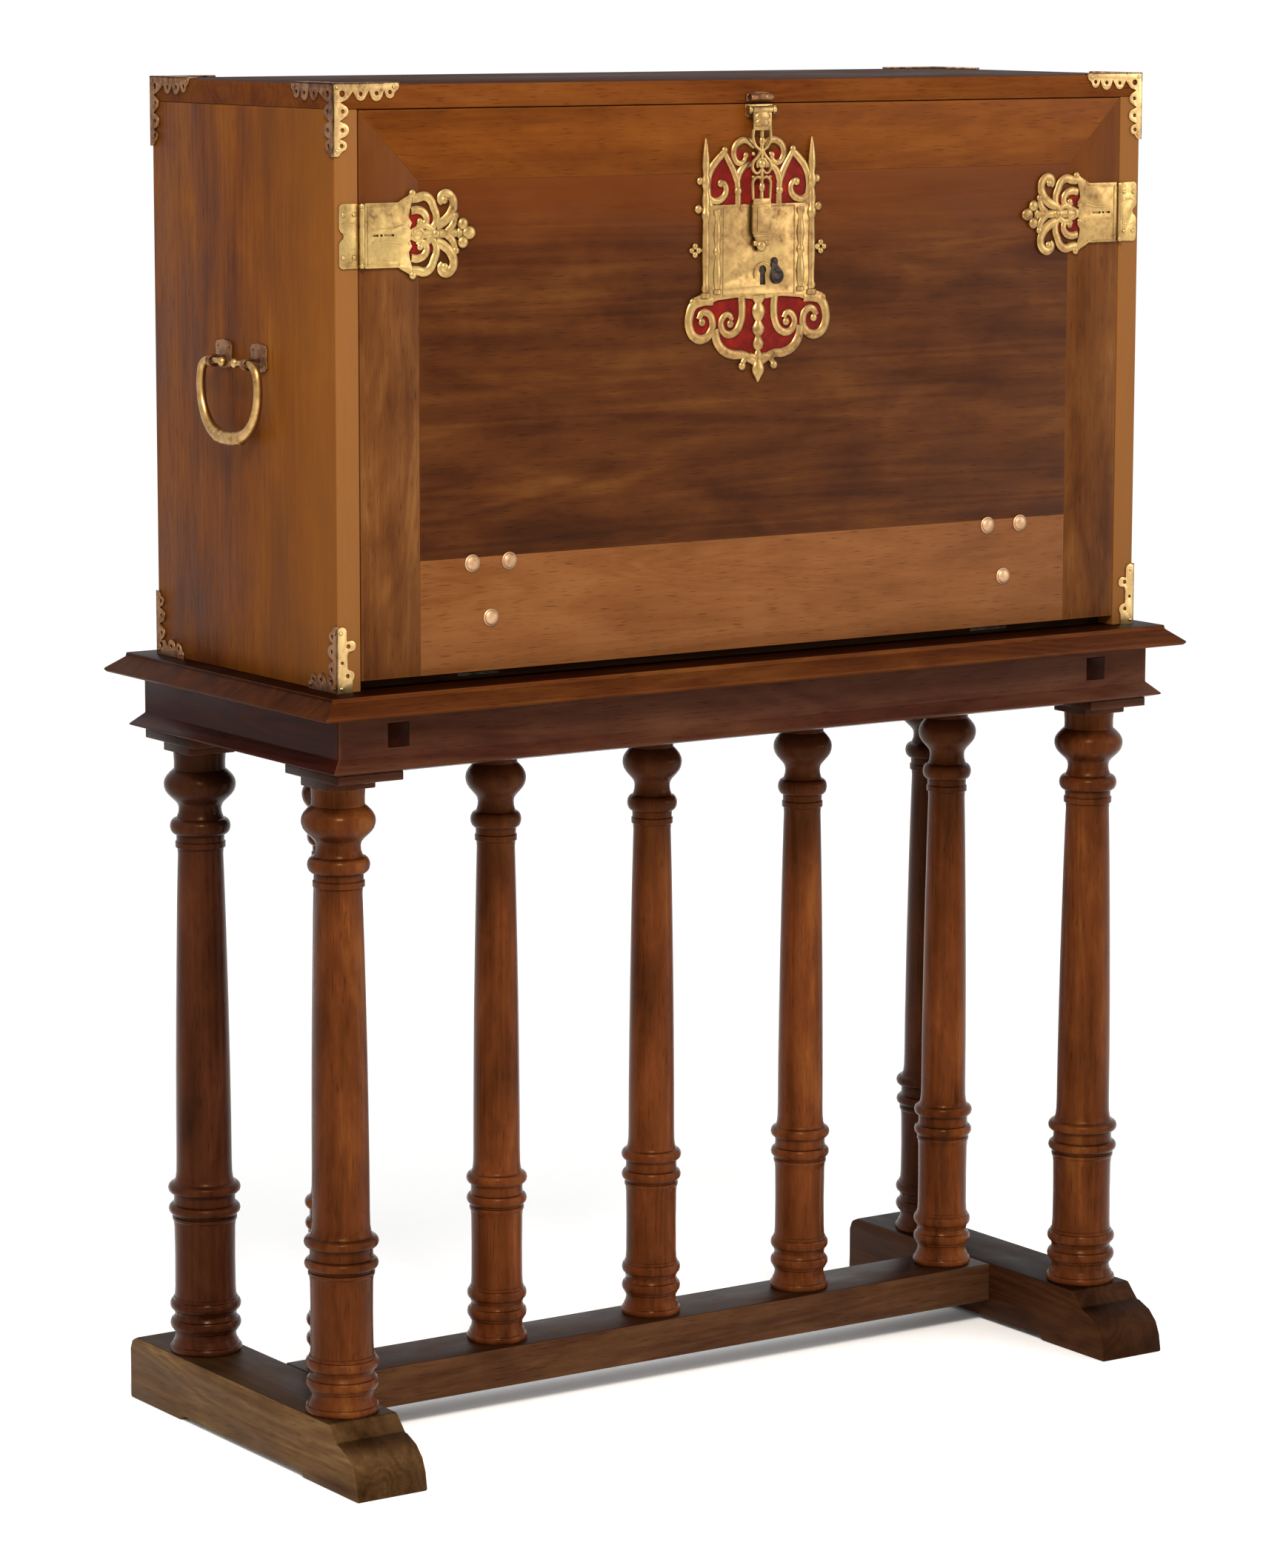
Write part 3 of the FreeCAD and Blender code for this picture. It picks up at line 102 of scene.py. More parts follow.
def wood(name, colours, along, seed=0, figure=0.5, streaks=0.5, patina=0.5, gloss=0.42, shine=0.12,
         figure_mm=90, straight=0.13, wax_and_shade="#8A6A58", end_dark=0.75, upper=None, front_highlight=None, graded_tone=None):
    """Waxed and polished timber with its grain along one axis.

    Growth lines about 6 mm apart wander along the board, fine fibres run with them, darker pores
    lie in short dashes, and old polish makes broad lighter and darker patches."""
    colours = colours.split()
    material = new_material(name)
    place = add(material, "TexCoord", out="Object")
    facing = add(material, "TexCoord", out="Normal")
    board = add(material, "Mapping", {"Vector": place, "Location": (seed, seed * 1.7, seed * 0.6),
                                      "Rotation": GRAIN_TURNS[along]})
    across = 1000 / figure_mm
    grain = {}
    # Each layer of grain is noise drawn out along the board: its cycles a metre, detail, roughness and distortion.
    # Fibres and pores are drawn a few times coarser than real ones, so that they show.
    for layer, cycles, detail, roughness, distortion in (
        ("heart", (across * straight, across, across), 2.5, 0.45, 0.35), ("fibres", (7, 260, 260), 4, 0.62, 0.25),
        ("bands", (2.2, 20, 20), 3, 0.55, 0.6), ("clouds", (7, 17, 17), 4, 0.62, 0.3),
        ("pores", (45, 900, 900), 1, 0.5, 0),
    ):
        drawn_out = add(material, "VectorMath", (board, cycles), operation="MULTIPLY")
        grain[layer] = add(material, "TexNoise", {
            "Vector": drawn_out, "Scale": 1, "Detail": detail, "Roughness": roughness, "Distortion": distortion})
    rings = add(material, "Math", (grain["heart"], figure_mm * 1.1), operation="MULTIPLY")
    rings = add(material, "Math", (rings,), operation="SINE")
    rings = add(material, "MapRange", (rings, -1, 1))
    tone = grain["bands"]
    for share, layer in ((figure * 0.5, rings), (streaks * 0.6, grain["fibres"]), (patina * 0.5, grain["clouds"])):
        tone = add(material, "Mix", {0: share, 2: tone, 3: layer})
    pores = add(material, "MapRange", (grain["pores"], 0.60, 0.76, 0, 0.7))
    # Dark wax and dust settle in hollows about 15 mm across, and painted shade darkens the same hollows
    hollow_grime_and_shade = add(material, "AmbientOcclusion", {"Distance": 0.015}, out="AO", only_local=True, samples=6)
    hollow_grime_and_shade = add(material, "MapRange", (hollow_grime_and_shade, 0.35, 0.9, 1, 0))
    # Edges are rubbed paler for 2 or 3 mm
    edge = add(material, "AmbientOcclusion", {"Distance": 0.004}, out="AO", only_local=True, inside=True, samples=6)
    edge = add(material, "MapRange", (edge, 0.45, 0.85, 0.35, 0))
    # End grain drinks the stain and is darker
    ends = [1 if along == axis else 0 for axis in "xyz"]
    ended = add(material, "VectorMath", (facing, ends), operation="DOT_PRODUCT", out="Value")
    ended = add(material, "Math", (ended,), operation="ABSOLUTE")
    ended = add(material, "MapRange", (ended, 0.55, 0.95, 0, end_dark))
    washes = [("MULTIPLY", pores, PORE_BROWN), ("MULTIPLY", hollow_grime_and_shade, wax_and_shade), ("MIX", edge, colours[-1]),
              ("MULTIPLY", ended, END_GRAIN_BROWN)]
    if upper:
        # Faces that look up are darker and greyer: dust, and on the slab and runners a painted shade
        raised = add(material, "VectorMath", (facing, (0, 0, 1)), operation="DOT_PRODUCT", out="Value")
        washes.append(("MULTIPLY", add(material, "MapRange", (raised, 0.6, 0.95)), upper))
    if graded_tone:
        # The colour changes along the piece, between two places on one axis; on the columns it is a painted shadow of
        # the frieze on their capitals
        axis, start, end, colour = graded_tone
        along_axis = add(material, "SeparateXYZ", (place,), out=axis)
        share = add(material, "MapRange", (along_axis, start * MM, end * MM, 0, 0.7), interpolation_type="SMOOTHSTEP")
        washes.append(("MIX", share, colour))
    if front_highlight:
        # Faces that look to the front are painted lighter, a painted highlight on the side boards' front edges
        most, colour = front_highlight
        front = add(material, "VectorMath", (facing, (0, -1, 0)), operation="DOT_PRODUCT", out="Value")
        washes.append(("MIX", add(material, "Math", (front, most), operation="MULTIPLY", use_clamp=True), colour))
    skin = add(material, "ValToRGB", (tone,), stops=list(zip(TONE_STOPS, colours)))
    for blend, share, colour in washes:
        skin = add(material, "Mix", {0: share, 6: skin, 7: paint(colour)}, out=2, data_type="RGBA", blend_type=blend)
    dull = add(material, "MapRange", (grain["clouds"], 0.3, 0.7, gloss - 0.09, gloss + 0.12))
    relief = add(material, "Math", (grain["fibres"], pores), operation="SUBTRACT")
    relief = add(material, "Bump", {"Height": relief, "Strength": 0.25, "Distance": 0.0006})
    return surface(material, Base_Color=skin, Roughness=dull, Normal=relief, IOR=1.5, Specular_IOR_Level=shine,
                   Specular_Tint=paint(POLISH_TINT))


def metal(name, bright, worn, dark, rough=0.30, wear_mm=9, hammer=0.12):
    """Cast and filed metal: bright where hands and cloths rub it, browner in the hollows of its skin, where painted
    shade darkens them too.
    """
    material = new_material(name)
    place = add(material, "TexCoord", out="Object")
    blotch = add(material, "TexNoise",
                 {"Vector": place, "Scale": 1000 / wear_mm, "Detail": 5, "Roughness": 0.65})
    tarnish = add(material, "TexNoise",
                  {"Vector": place, "Scale": 1000 / (wear_mm * 4.5), "Detail": 3, "Roughness": 0.6})
    tone = add(material, "Mix", {0: 0.45, 2: blotch, 3: tarnish})
    colour = add(material, "ValToRGB", (tone,), stops=[(0.30, dark), (0.42, worn), (0.56, bright)])
    # Hollows about 4 mm wide keep a dark brown grime, and painted shade darkens them too
    hollow_grime_and_shade = add(material, "AmbientOcclusion", {"Distance": 0.004}, out="AO", only_local=True, samples=6)
    hollow_grime_and_shade = add(material, "MapRange", (hollow_grime_and_shade, 0.3, 0.85, 1, 0))
    grimy_and_shaded = add(material, "Mix", {0: hollow_grime_and_shade, 6: colour, 7: paint(dark)}, out=2, data_type="RGBA")
    dull = add(material, "MapRange", (tone, 0.35, 0.65, rough + 0.16, rough - 0.04))
    skin = add(material, "Bump", {"Height": blotch, "Strength": hammer, "Distance": 0.0006})
    return surface(material, Base_Color=grimy_and_shaded, Metallic=1, Roughness=dull, Normal=skin)


def velvet(name):
    """Silk velvet: a deep red pile that is darker where it is crushed and pale at grazing light."""
    material = new_material(name)
    place = add(material, "TexCoord", out="Object")
    # A pile about 1 mm coarse, crushed in patches about 17 mm across
    pile = add(material, "TexNoise", {"Vector": place, "Scale": 900, "Detail": 3, "Roughness": 0.7})
    crush = add(material, "TexNoise", {"Vector": place, "Scale": 60, "Detail": 3, "Roughness": 0.6})
    tone = add(material, "Mix", {0: 0.5, 2: pile, 3: crush})
    colour = add(material, "ValToRGB", (tone,), stops=[(0.3, "#360502"), (0.5, "#5A0C05"), (0.68, "#7C1A0C")])
    nap = add(material, "Bump", {"Height": pile, "Strength": 0.6, "Distance": 0.0005})
    return surface(material, Base_Color=colour, Roughness=0.9, Normal=nap, Specular_IOR_Level=0.1, Sheen_Weight=0.1,
                   Sheen_Roughness=0.4)


# Chest, of waxed walnut: the sides are a lively orange brown, darker towards the back, with a painted highlight on
# their front edges
SIDE_WALNUT = wood("waxed_walnut_side", "#260D01 #461F03 #5A2D05 #6E400F", "z", 0.31, figure=0.1,
                   streaks=0.65, patina=0.85, shine=0.05, front_highlight=(0.5, "#74502F"), graded_tone=("Y", 80, -240, "#663B10"))
# The top is darker and greyer where it faces up, and the bottom and back are plain and unpolished; the bottom is
# painted near black, a painted shade in the gap under the flap
TOP_WALNUT = wood("waxed_walnut_top", "#391906 #4C240A #572D0F #603614", "x", 2.3,
                  figure=0.3, patina=0.8, gloss=0.6, shine=0.03, end_dark=0.1, upper="#8A7E7C")
SHADED_BOTTOM_WALNUT = wood("walnut_bottom_painted_shade", "#1C0E05 #261408 #2D190B #35200F", "x", 2.9, gloss=0.6,
                     shine=0.04)
BACK_WALNUT = wood("plain_walnut_back", "#301804 #3D2007 #462809 #4F300D", "x", 9.4,
                   figure=0.3, patina=0.7, gloss=0.6, shine=0.06)
# The flap has mellow stiles and top rail, a dark red brown panel and a pale foot rail
STILE_WALNUT = wood("waxed_walnut_stile", "#200D03 #3F200B #512E13 #684320", "z", 1.9,
                    figure=0.15, streaks=0.4, patina=0.9, graded_tone=("Z", 1240, 1400, "#4A2308"))
HEAD_WALNUT = wood("waxed_walnut_head_rail", "#3A1904 #4E2506 #5B2E09 #663910", "x", 3.7,
                   figure=0.2, streaks=0.3, patina=0.9, straight=0.08)
PANEL_WALNUT = wood("dark_walnut_panel", "#1D0B05 #311507 #40200B #533012", "x", 5.2, figure=0.25,
                    streaks=0.3, patina=0.9, figure_mm=60, straight=0.06, graded_tone=("Z", 1265, 1385, "#52260A"))
FOOT_WALNUT = wood("pale_walnut_foot_rail", "#4A2810 #5B3519 #653D1F #6D4627", "x", 7.9,
                   figure=0.2, streaks=0.35, patina=0.8)
# The inside is cleaner, greyer walnut that no sun has reached, edged in black-stained pear
INSIDE = dict(colours="#452714 #55351D #5E3C23 #66442A", figure=0.3, patina=0.6, gloss=0.46, shine=0.08)
INNER_WALNUT = wood("clean_walnut_inside", along="x", seed=4.4, **INSIDE)
INNER_UPRIGHT = wood("clean_walnut_inside_upright", along="z", seed=6.1, **INSIDE)
EBONISED_BEAD = wood("ebonised_pear_bead", "#0E0704 #160B06 #1E1009 #2C1A10", "x", 8.3,
                     figure=0.2, gloss=0.34, shine=0.15)
# Stand, of polished walnut: darker, redder and glossier; the short sides of the frieze are painted nearly black, a
# painted shade under the top's overhang
# Its upward faces are painted darker, a painted shade in the gap under the chest
SLAB_WOOD = wood("polished_stand_top", "#281006 #3E1D0B #4B260E #5B3515", "x", 11.2,
                 figure=0.3, streaks=0.4, patina=0.8, shine=0.02, end_dark=1, upper="#6A5A55")
FRIEZE_WOOD = wood("polished_frieze_long", "#221009 #341A12 #3E2317 #4B2E1E", "x", 12.6,
                   figure=0.25, streaks=0.4, patina=0.8, gloss=0.3, shine=0.06)
# A near-black copy for the short sides of the frieze, a painted shade; the cross bearers' ends take it too
SHADED_FRIEZE_END_WOOD = wood("polished_frieze_short_painted_shade", "#120201 #1E0401 #250701 #300B02", "y", 13.3,
                       figure=0.4, gloss=0.3, shine=0.05)
# Columns gleam, with dark wax and painted shade in their turned hollows
TURNED = dict(along="z", figure=0.2, streaks=0.4, patina=1, gloss=0.24, shine=0.09, wax_and_shade="#4A3428")
TURNED_WOOD = wood("polished_column_front", "#190604 #3A1A08 #4C250F #653A16", seed=14.8, **TURNED)
# The back columns are a darker copy, a painted shade, and darker still towards their capitals, a painted shadow of the
# frieze
SHADED_TURNED_BACK_WOOD = wood("polished_column_back_painted_shade", "#150504 #2D1308 #3A1B0E #492813", seed=15.5,
                        graded_tone=("Z", 560, 745, "#1E0D07"), **TURNED)
# The row columns darken towards their capitals, a painted shadow of the frieze
TURNED_ROW_WOOD = wood("polished_column_row", "#1D0905 #411E0A #552A12 #6E3F19", seed=16.1,
                       graded_tone=("Z", 560, 745, "#281209"), **TURNED)
# Runners and stretcher are rubbed by feet, and grey with dust on top; the runners' tops are also painted darker, a
# painted shade
RUNNER = dict(along="y", figure=0.35, streaks=0.6, patina=0.9, gloss=0.5, shine=0.05, upper="#8C8078")
RUNNER_WOOD = wood("rubbed_runner_left", "#231408 #442E18 #553D24 #6C5635", seed=16.9, **RUNNER)
# The right runner is a darker copy, a painted shade under the stand
SHADED_RUNNER_WOOD = wood("rubbed_runner_right_painted_shade", "#160803 #2A1509 #371F0F #452A17", seed=17.6, **RUNNER)
STRETCHER_WOOD = wood("rubbed_stretcher", "#1F1008 #361F12 #432A19 #513722", "x", 18.2,
                      figure=0.3, patina=0.9, gloss=0.44, shine=0.07, upper="#9C8C82")
# Brass: pale soft gilding, thinner where it is handled, and brown where it is gone
GILT_BRASS = metal("gilt_cast_brass", "#B4975E", "#96784A", "#4C341E", hammer=0.2)
PALE_BRASS = metal("pale_gilt_brass", "#BF9E6A", "#A68456", "#50361F", hammer=0.2)
RUBBED_BRASS = metal("rubbed_gilt_brass", "#A58653", "#8A6A42", "#46301C", hammer=0.2)
BROWNED_BRASS = metal("browned_cast_brass", "#8A6444", "#623F29", "#382014", rough=0.44)
HANDLE_BRASS = metal("worn_cast_brass", "#B4905C", "#94703F", "#4C311B")
STUD_BRASS = metal("pinkish_brass_stud", "#B49070", "#997859", "#503627", rough=0.46)
# Iron gone brown-black, with a dull waxed skin and rusty pits
OLD_IRON = metal("waxed_forged_iron", "#4A423C", "#332B26", "#2A1A12", rough=0.5, wear_mm=6, hammer=0.5)
RED_VELVET = velvet("crushed_silk_velvet")


# Helpers for modelling

def clear_selection():
    """Leaves edit mode and selects nothing."""
    if bpy.context.object and bpy.context.object.mode != "OBJECT":
        bpy.ops.object.mode_set(mode="OBJECT")
    bpy.ops.object.select_all(action="DESELECT")


def work_on(piece):
    """Makes one piece the only selected and active one."""
    clear_selection()
    piece.select_set(True)
    bpy.context.view_layer.objects.active = piece


def edit_all():
    """Goes into edit mode with the whole mesh selected."""
    bpy.ops.object.mode_set(mode="EDIT")
    bpy.ops.mesh.select_all(action="SELECT")


def leave_edit():
    """Goes back to object mode."""
    bpy.ops.object.mode_set(mode="OBJECT")


def new_piece(name):
    """Names the object that an operator has just added."""
    piece = bpy.context.object
    piece.name = piece.data.name = name
    return piece


def apply_place(piece):
    """Moves the piece's place, turn and size into its mesh."""
    work_on(piece)
    bpy.ops.object.transform_apply(location=True, rotation=True, scale=True)
    return piece


def turn_to(piece, degrees, place):
    """Turns a piece about the origin, moves it by millimetres and applies both."""
    piece.rotation_euler = [math.radians(angle) for angle in degrees]
    piece.location = [v * MM for v in place]
    return apply_place(piece)


def join(name, pieces):
    """Several meshes as one piece."""
    clear_selection()
    for piece in pieces:
        piece.select_set(True)
    bpy.context.view_layer.objects.active = pieces[0]
    if len(pieces) > 1:
        bpy.ops.object.join()
    return new_piece(name)


def copy_of(piece, name, shift=(0, 0, 0), turn=0, mirror=None):
    """A copy with its own mesh, moved in millimetres, turned about Z or mirrored along an axis."""
    work_on(piece)
    bpy.ops.object.duplicate()
    twin = new_piece(name)
    twin.rotation_euler = (0, 0, turn)
    twin.scale = mirror or (1, 1, 1)
    twin.location = [v * MM for v in shift]
    apply_place(twin)
    if mirror:
        edit_all()
        bpy.ops.mesh.normals_make_consistent(inside=False)
        leave_edit()
    return twin


def finish_piece(piece, body, material, slot, *replaced, angle=32):
    """Gives a piece its finish, its body and the nodes that it stands for. The slot is not used."""
    apply_place(piece)
    piece.data.materials.clear()
    piece.data.materials.append(material)
    bpy.ops.object.shade_smooth_by_angle(angle=math.radians(angle))
    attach(piece, body)
    if replaced:
        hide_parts(*replaced)


def finish_brass(name, parts, body, material, *replaced, angle=40):
    """Joins cast, sawn and turned parts as one finished mount."""
    finish_piece(join(name, parts), body, material, "brass_mounts", *replaced, angle=angle)


def eased(node, body, material, slot, ease):
    """A board or rail from its own solid, merged, with its sharp edges eased by millimetres as by hand."""
    piece = bpy.data.objects.new(node + "_eased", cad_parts[node].data.copy())
    bpy.context.scene.collection.objects.link(piece)
    work_on(piece)
    edit_all()
    bpy.ops.mesh.remove_doubles(threshold=0.00002)
    bpy.ops.mesh.dissolve_limited(angle_limit=math.radians(0.6))
    leave_edit()
    bevel = piece.modifiers.new("bevel", "BEVEL")
    bevel.width = ease * MM
    bevel.segments = 2
    bevel.limit_method = "ANGLE"
    bevel.angle_limit = math.radians(25)
    bevel.use_clamp_overlap = True
    bpy.ops.object.modifier_apply(modifier=bevel.name)
    finish_piece(piece, body, material, slot, node)


def bead(low, high, neck, crown, steps=6):
    """Points of a half-round moulding between two heights, from the neck's radius to the crown's."""
    turns = [math.pi * step / steps for step in range(steps + 1)]
    return [((low + high) / 2 - (high - low) / 2 * math.cos(turn), neck + (crown - neck) * math.sin(turn))
            for turn in turns]


def turned(name, profile, sides=48):
    """A turning: a circle drawn up through its profile of heights and radii, and closed at both ends."""
    clear_selection()
    height, radius = profile[0]
    bpy.ops.mesh.primitive_circle_add(vertices=sides, radius=radius * MM, fill_type="NGON",
                                      location=(0, 0, height * MM))
    piece = new_piece(name)
    edit_all()
    for above, wider in profile[1:]:
        bpy.ops.mesh.extrude_region_move(TRANSFORM_OT_translate={"value": (0, 0, (above - height) * MM)})
        share = wider / radius
        bpy.ops.transform.resize(value=(share, share, 1), center_override=(0, 0, above * MM))
        height, radius = above, wider
    bpy.ops.mesh.select_all(action="SELECT")
    bpy.ops.mesh.remove_doubles(threshold=0.00001)
    bpy.ops.mesh.normals_make_consistent(inside=False)
    leave_edit()
    return apply_place(piece)


# Boards, rails and drawers, from their own solids: finish, slot, ease and nodes

DRAWERS = [node for node in sorted(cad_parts) if node.startswith("drawer_")]
for material, slot, ease, nodes in (
    (SIDE_WALNUT, "walnut_boards", 1.2, ["side_board_left", "side_board_right"]),
    (TOP_WALNUT, "walnut_boards", 1.2, ["top_board"]),
    (SHADED_BOTTOM_WALNUT, "walnut_boards", 1.2, ["bottom_board"]),
    (BACK_WALNUT, "walnut_boards", 1.2, ["back_panel"]),
    (INNER_UPRIGHT, "walnut_inner", 1.2, ["inner_dividers", "niche_arch"]),
    (INNER_WALNUT, "walnut_inner", 1.2, ["inner_shelves"]),
    (INNER_WALNUT, "walnut_inner", 0.8, DRAWERS),
    (STILE_WALNUT, "walnut_frame", 0.5, ["flap_stile_left", "flap_stile_right"]),
    (HEAD_WALNUT, "walnut_frame", 0.5, ["flap_top_rail"]),
    (FOOT_WALNUT, "walnut_light", 0.5, ["flap_bottom_rail"]),
    (PANEL_WALNUT, "walnut_panel", 0.5, ["flap_panel"]),
    (SLAB_WOOD, "stand_dark", 1.6, ["stand_top"]),
    (FRIEZE_WOOD, "stand_dark", 1.5, ["frieze_rail_front", "frieze_rail_back", "column_caps"]),
    (SHADED_FRIEZE_END_WOOD, "stand_dark", 1.5, ["frieze_rail_left", "frieze_rail_right"]),
    (SHADED_FRIEZE_END_WOOD, "stand_dark", 0.8, ["cross_bearer_left", "cross_bearer_right"]),
    (FRIEZE_WOOD, "stand_dark", 0.8, ["middle_bearer"]),
    (RUNNER_WOOD, "stand_base", 2.5, ["runner_left"]),
    (SHADED_RUNNER_WOOD, "stand_base", 2.5, ["runner_right"]),
    (STRETCHER_WOOD, "stand_base", 2, ["stretcher"]),
):
    for node in nodes:
        eased(node, FLAP if node.startswith("flap_") else BODY, material, slot, ease)

# Columns

# Height and radius of the corner column's turning, from its foot on the runner to its neck
COLUMN_PROFILE = (
    bead(72, 80, 37.5, 40.3)
    + [(80.6, 37), (83.5, 36.6), (86, 34.8), (91, 33.6), (95.5, 34.2), (96.5, 36), (98, 36.2)]
    + bead(98.6, 109.6, 36.2, 39.4)
    + [(110.2, 35.6), (114.5, 34), (119, 35.6), (119.6, 36.2)]
    + bead(120.2, 131.2, 36.2, 39.4)
    + [(132, 35.8), (134, 35.6), (135, 34.4), (145, 33.7), (180, 33.4), (214, 33.8), (221, 34.6), (222.5, 35.8)]
    + [(225.5, 35.9), (226.4, 34.6), (228, 34.4)]
    + bead(228.6, 240.4, 34.6, 39.8)
    + [(241.2, 34.4), (246, 33.8), (251, 34.2)]
    + bead(251.8, 264.4, 34.4, 40.2)
    + [(265.2, 33.6), (269, 31.9), (276, 31), (290, 30.7), (340, 30.5), (400, 29.9), (460, 29.1), (520, 28)]
    + [(575, 26.8), (615, 25.7), (634, 25.1), (640, 25.6), (641.4, 27.7), (647.2, 27.8), (648.6, 26.4), (654.4, 26.6)]
    + bead(655.4, 673.6, 26.6, 33.4, steps=8)
    + [(675, 25.6), (680, 23.9), (685, 23.6), (689, 24.6), (692.5, 27.4), (696, 31.2), (700, 35.2), (704, 38)]
    + [(708.5, 39.4), (712.5, 39.6), (716.5, 38.7), (720.5, 36.4), (724, 33.2), (726.6, 30.4), (728, 28.6)]
    + [(730, 28.2), (737, 28.2), (742, 28.6), (747, 28.8)]
)
# A column of the row is slimmer and runs on up to the middle bearer
ROW_SLIMNESS_SHARE = 0.85
ROW_PROFILE = [(z, r * ROW_SLIMNESS_SHARE) for z, r in COLUMN_PROFILE[:-1]] + [(770, 24.5), (786, 24.5)]
ROW_Y = 8

corner_column = turned("corner_column", COLUMN_PROFILE)
row_column = turned("row_column", ROW_PROFILE)
for number, (name, x, y) in enumerate((
    ("front_left", -505, -148), ("front_right", 505, -148), ("back_left", -505, 148), ("back_right", 505, 148),
)):
    twin = copy_of(corner_column, f"column_{name}_turned", (x, y, 0), turn=0.7 * number)
    finish_piece(twin, BODY, SHADED_TURNED_BACK_WOOD if y > 0 else TURNED_WOOD, "stand_turned", f"column_{name}")
for number, x in enumerate((-419, -209.5, 0, 209.5, 419), start=1):
    twin = copy_of(row_column, f"row_column_{number}_turned", (x, ROW_Y, 0), turn=0.9 * number)
    finish_piece(twin, BODY, TURNED_ROW_WOOD, "stand_turned", f"row_column_{number}")
bpy.data.objects.remove(corner_column)
bpy.data.objects.remove(row_column)

# Helpers for cast, sawn and filed work: drawn flat as right and up in millimetres, then stood on a face of the chest

# Turn of each face, and the axis that a piece's distance is measured on
FACES = {"front": ((90, 0, 0), 1), "side": ((90, 0, 90), 0), "top": ((0, 0, 0), 2)}
ALONG_X = (0, 90, 0)
TOWARDS_FRONT = (90, 0, 0)
PLATE_Y = -193.25
VELVET_Y = -191.5
BEHIND_PLATE_Y = -191.7
BRACKET_Y = -191.9
LEAF_Y = -192.2
MOUNT_Y = -192


def arc(right, up, radius, start, stop, steps=8):
    """Points of an arc between two angles in degrees."""
    turns = [math.radians(start + (stop - start) * step / steps) for step in range(steps + 1)]
    return [(right + radius * math.cos(turn), up + radius * math.sin(turn)) for turn in turns]


def ring(right, up, radius, steps):
    """Points all round a circle."""
    return arc(right, up, radius, 0, 360, steps)[:-1]


def rectangle(left, low, right, high):
    """The corners of a rectangle."""
    return [(left, low), (right, low), (right, high), (left, high)]


def flipped(points):
    """The same points on the other side of the middle, in reverse order."""
    return [(-right, up) for right, up in reversed(points)]


def sided(points, side):
    """Points kept for the right side, or mirrored for the left."""
    return [(right * side, up) for right, up in points]


def new_curve(dimensions, width):
    """An empty curve with a rounded edge of so many millimetres."""
    clear_selection()
    bpy.ops.curve.primitive_bezier_curve_add(location=(0, 0, 0))
    data = bpy.context.object.data
    data.splines.clear()
    data.dimensions = dimensions
    data.bevel_depth = width * MM
    return data


def stood(name, face, at, flatten=1):
    """Makes the drawn curve a mesh, flattens it, and stands it on its face."""
    bpy.ops.object.convert(target="MESH")
    piece = new_piece(name)
    piece.scale = (1, 1, flatten)
    apply_place(piece)
    turn, axis = FACES[face]
    turn_to(piece, turn, [at if index == axis else 0 for index in range(3)])
    edit_all()
    bpy.ops.mesh.remove_doubles(threshold=0.000005)
    bpy.ops.mesh.normals_make_consistent(inside=False)
    leave_edit()
    return piece


def plate(name, outline, holes=(), thick=2.5, ease=0.5, face="front", at=PLATE_Y):
    """Sheet metal sawn to an outline, pierced, and filed round at its edges."""
    data = new_curve("2D", ease)
    data.fill_mode = "BOTH"
    data.extrude = (thick / 2 - ease) * MM
    data.bevel_resolution = 1
    data.offset = -ease * MM
    for points in (outline, *holes):
        line = data.splines.new("POLY")
        line.points.add(len(points) - 1)
        for point, (right, up) in zip(line.points, points):
            point.co = (right * MM, up * MM, 0, 1)
        line.use_cyclic_u = True
    return stood(name, face, at)


def scroll(name, points, width, thick=3.4, slim=1, swell=(), closed=False, face="front", at=PLATE_Y):
    """A cast scroll: a smooth line drawn out to a flattened band, slimmer or swollen along its way."""
    data = new_curve("3D", width / 2)
    data.bevel_resolution = 2
    data.resolution_u = 5
    data.use_fill_caps = True
    line = data.splines.new("BEZIER")
    line.bezier_points.add(len(points) - 1)
    for index, (knot, (right, up)) in enumerate(zip(line.bezier_points, points)):
        knot.co = (right * MM, up * MM, 0)
        knot.handle_left_type = knot.handle_right_type = "AUTO"
        gone = index / (len(points) - 1)
        knot.radius = swell[index] if swell else 1 - (1 - slim) * gone * gone
    line.use_cyclic_u = closed
    return stood(name, face, at, thick / width)


def ball(name, place, radius, flatten):
    """A cast bead, flattened towards what carries it."""
    clear_selection()
    bpy.ops.mesh.primitive_uv_sphere_add(segments=16, ring_count=8, radius=radius * MM, location=(0, 0, 0))
    piece = new_piece(name)
    piece.scale = flatten
    return turn_to(piece, (0, 0, 0), place)


def turning(name, profile, place, turn=(0, 0, 0), flatten=1, sides=24):
    """A small brass turning, flattened from front to back or laid over, and set in its place."""
    piece = turned(name, profile, sides)
    piece.scale = (1, flatten, 1)
    apply_place(piece)
    return turn_to(piece, turn, place)


def block(name, low, high, ease):
    """A small forged block with filed edges."""
    clear_selection()
    bpy.ops.mesh.primitive_cube_add(size=1, location=[(a + b) / 2 * MM for a, b in zip(low, high)])
    piece = new_piece(name)
    piece.scale = [(b - a) * MM for a, b in zip(low, high)]
    apply_place(piece)
    edit_all()
    bpy.ops.mesh.bevel(offset=ease * MM, segments=2, affect="EDGES")
    leave_edit()
    return piece


# Lock plate: a pierced gilt plate between pillars, crested and tailed with scrolls over red velvet

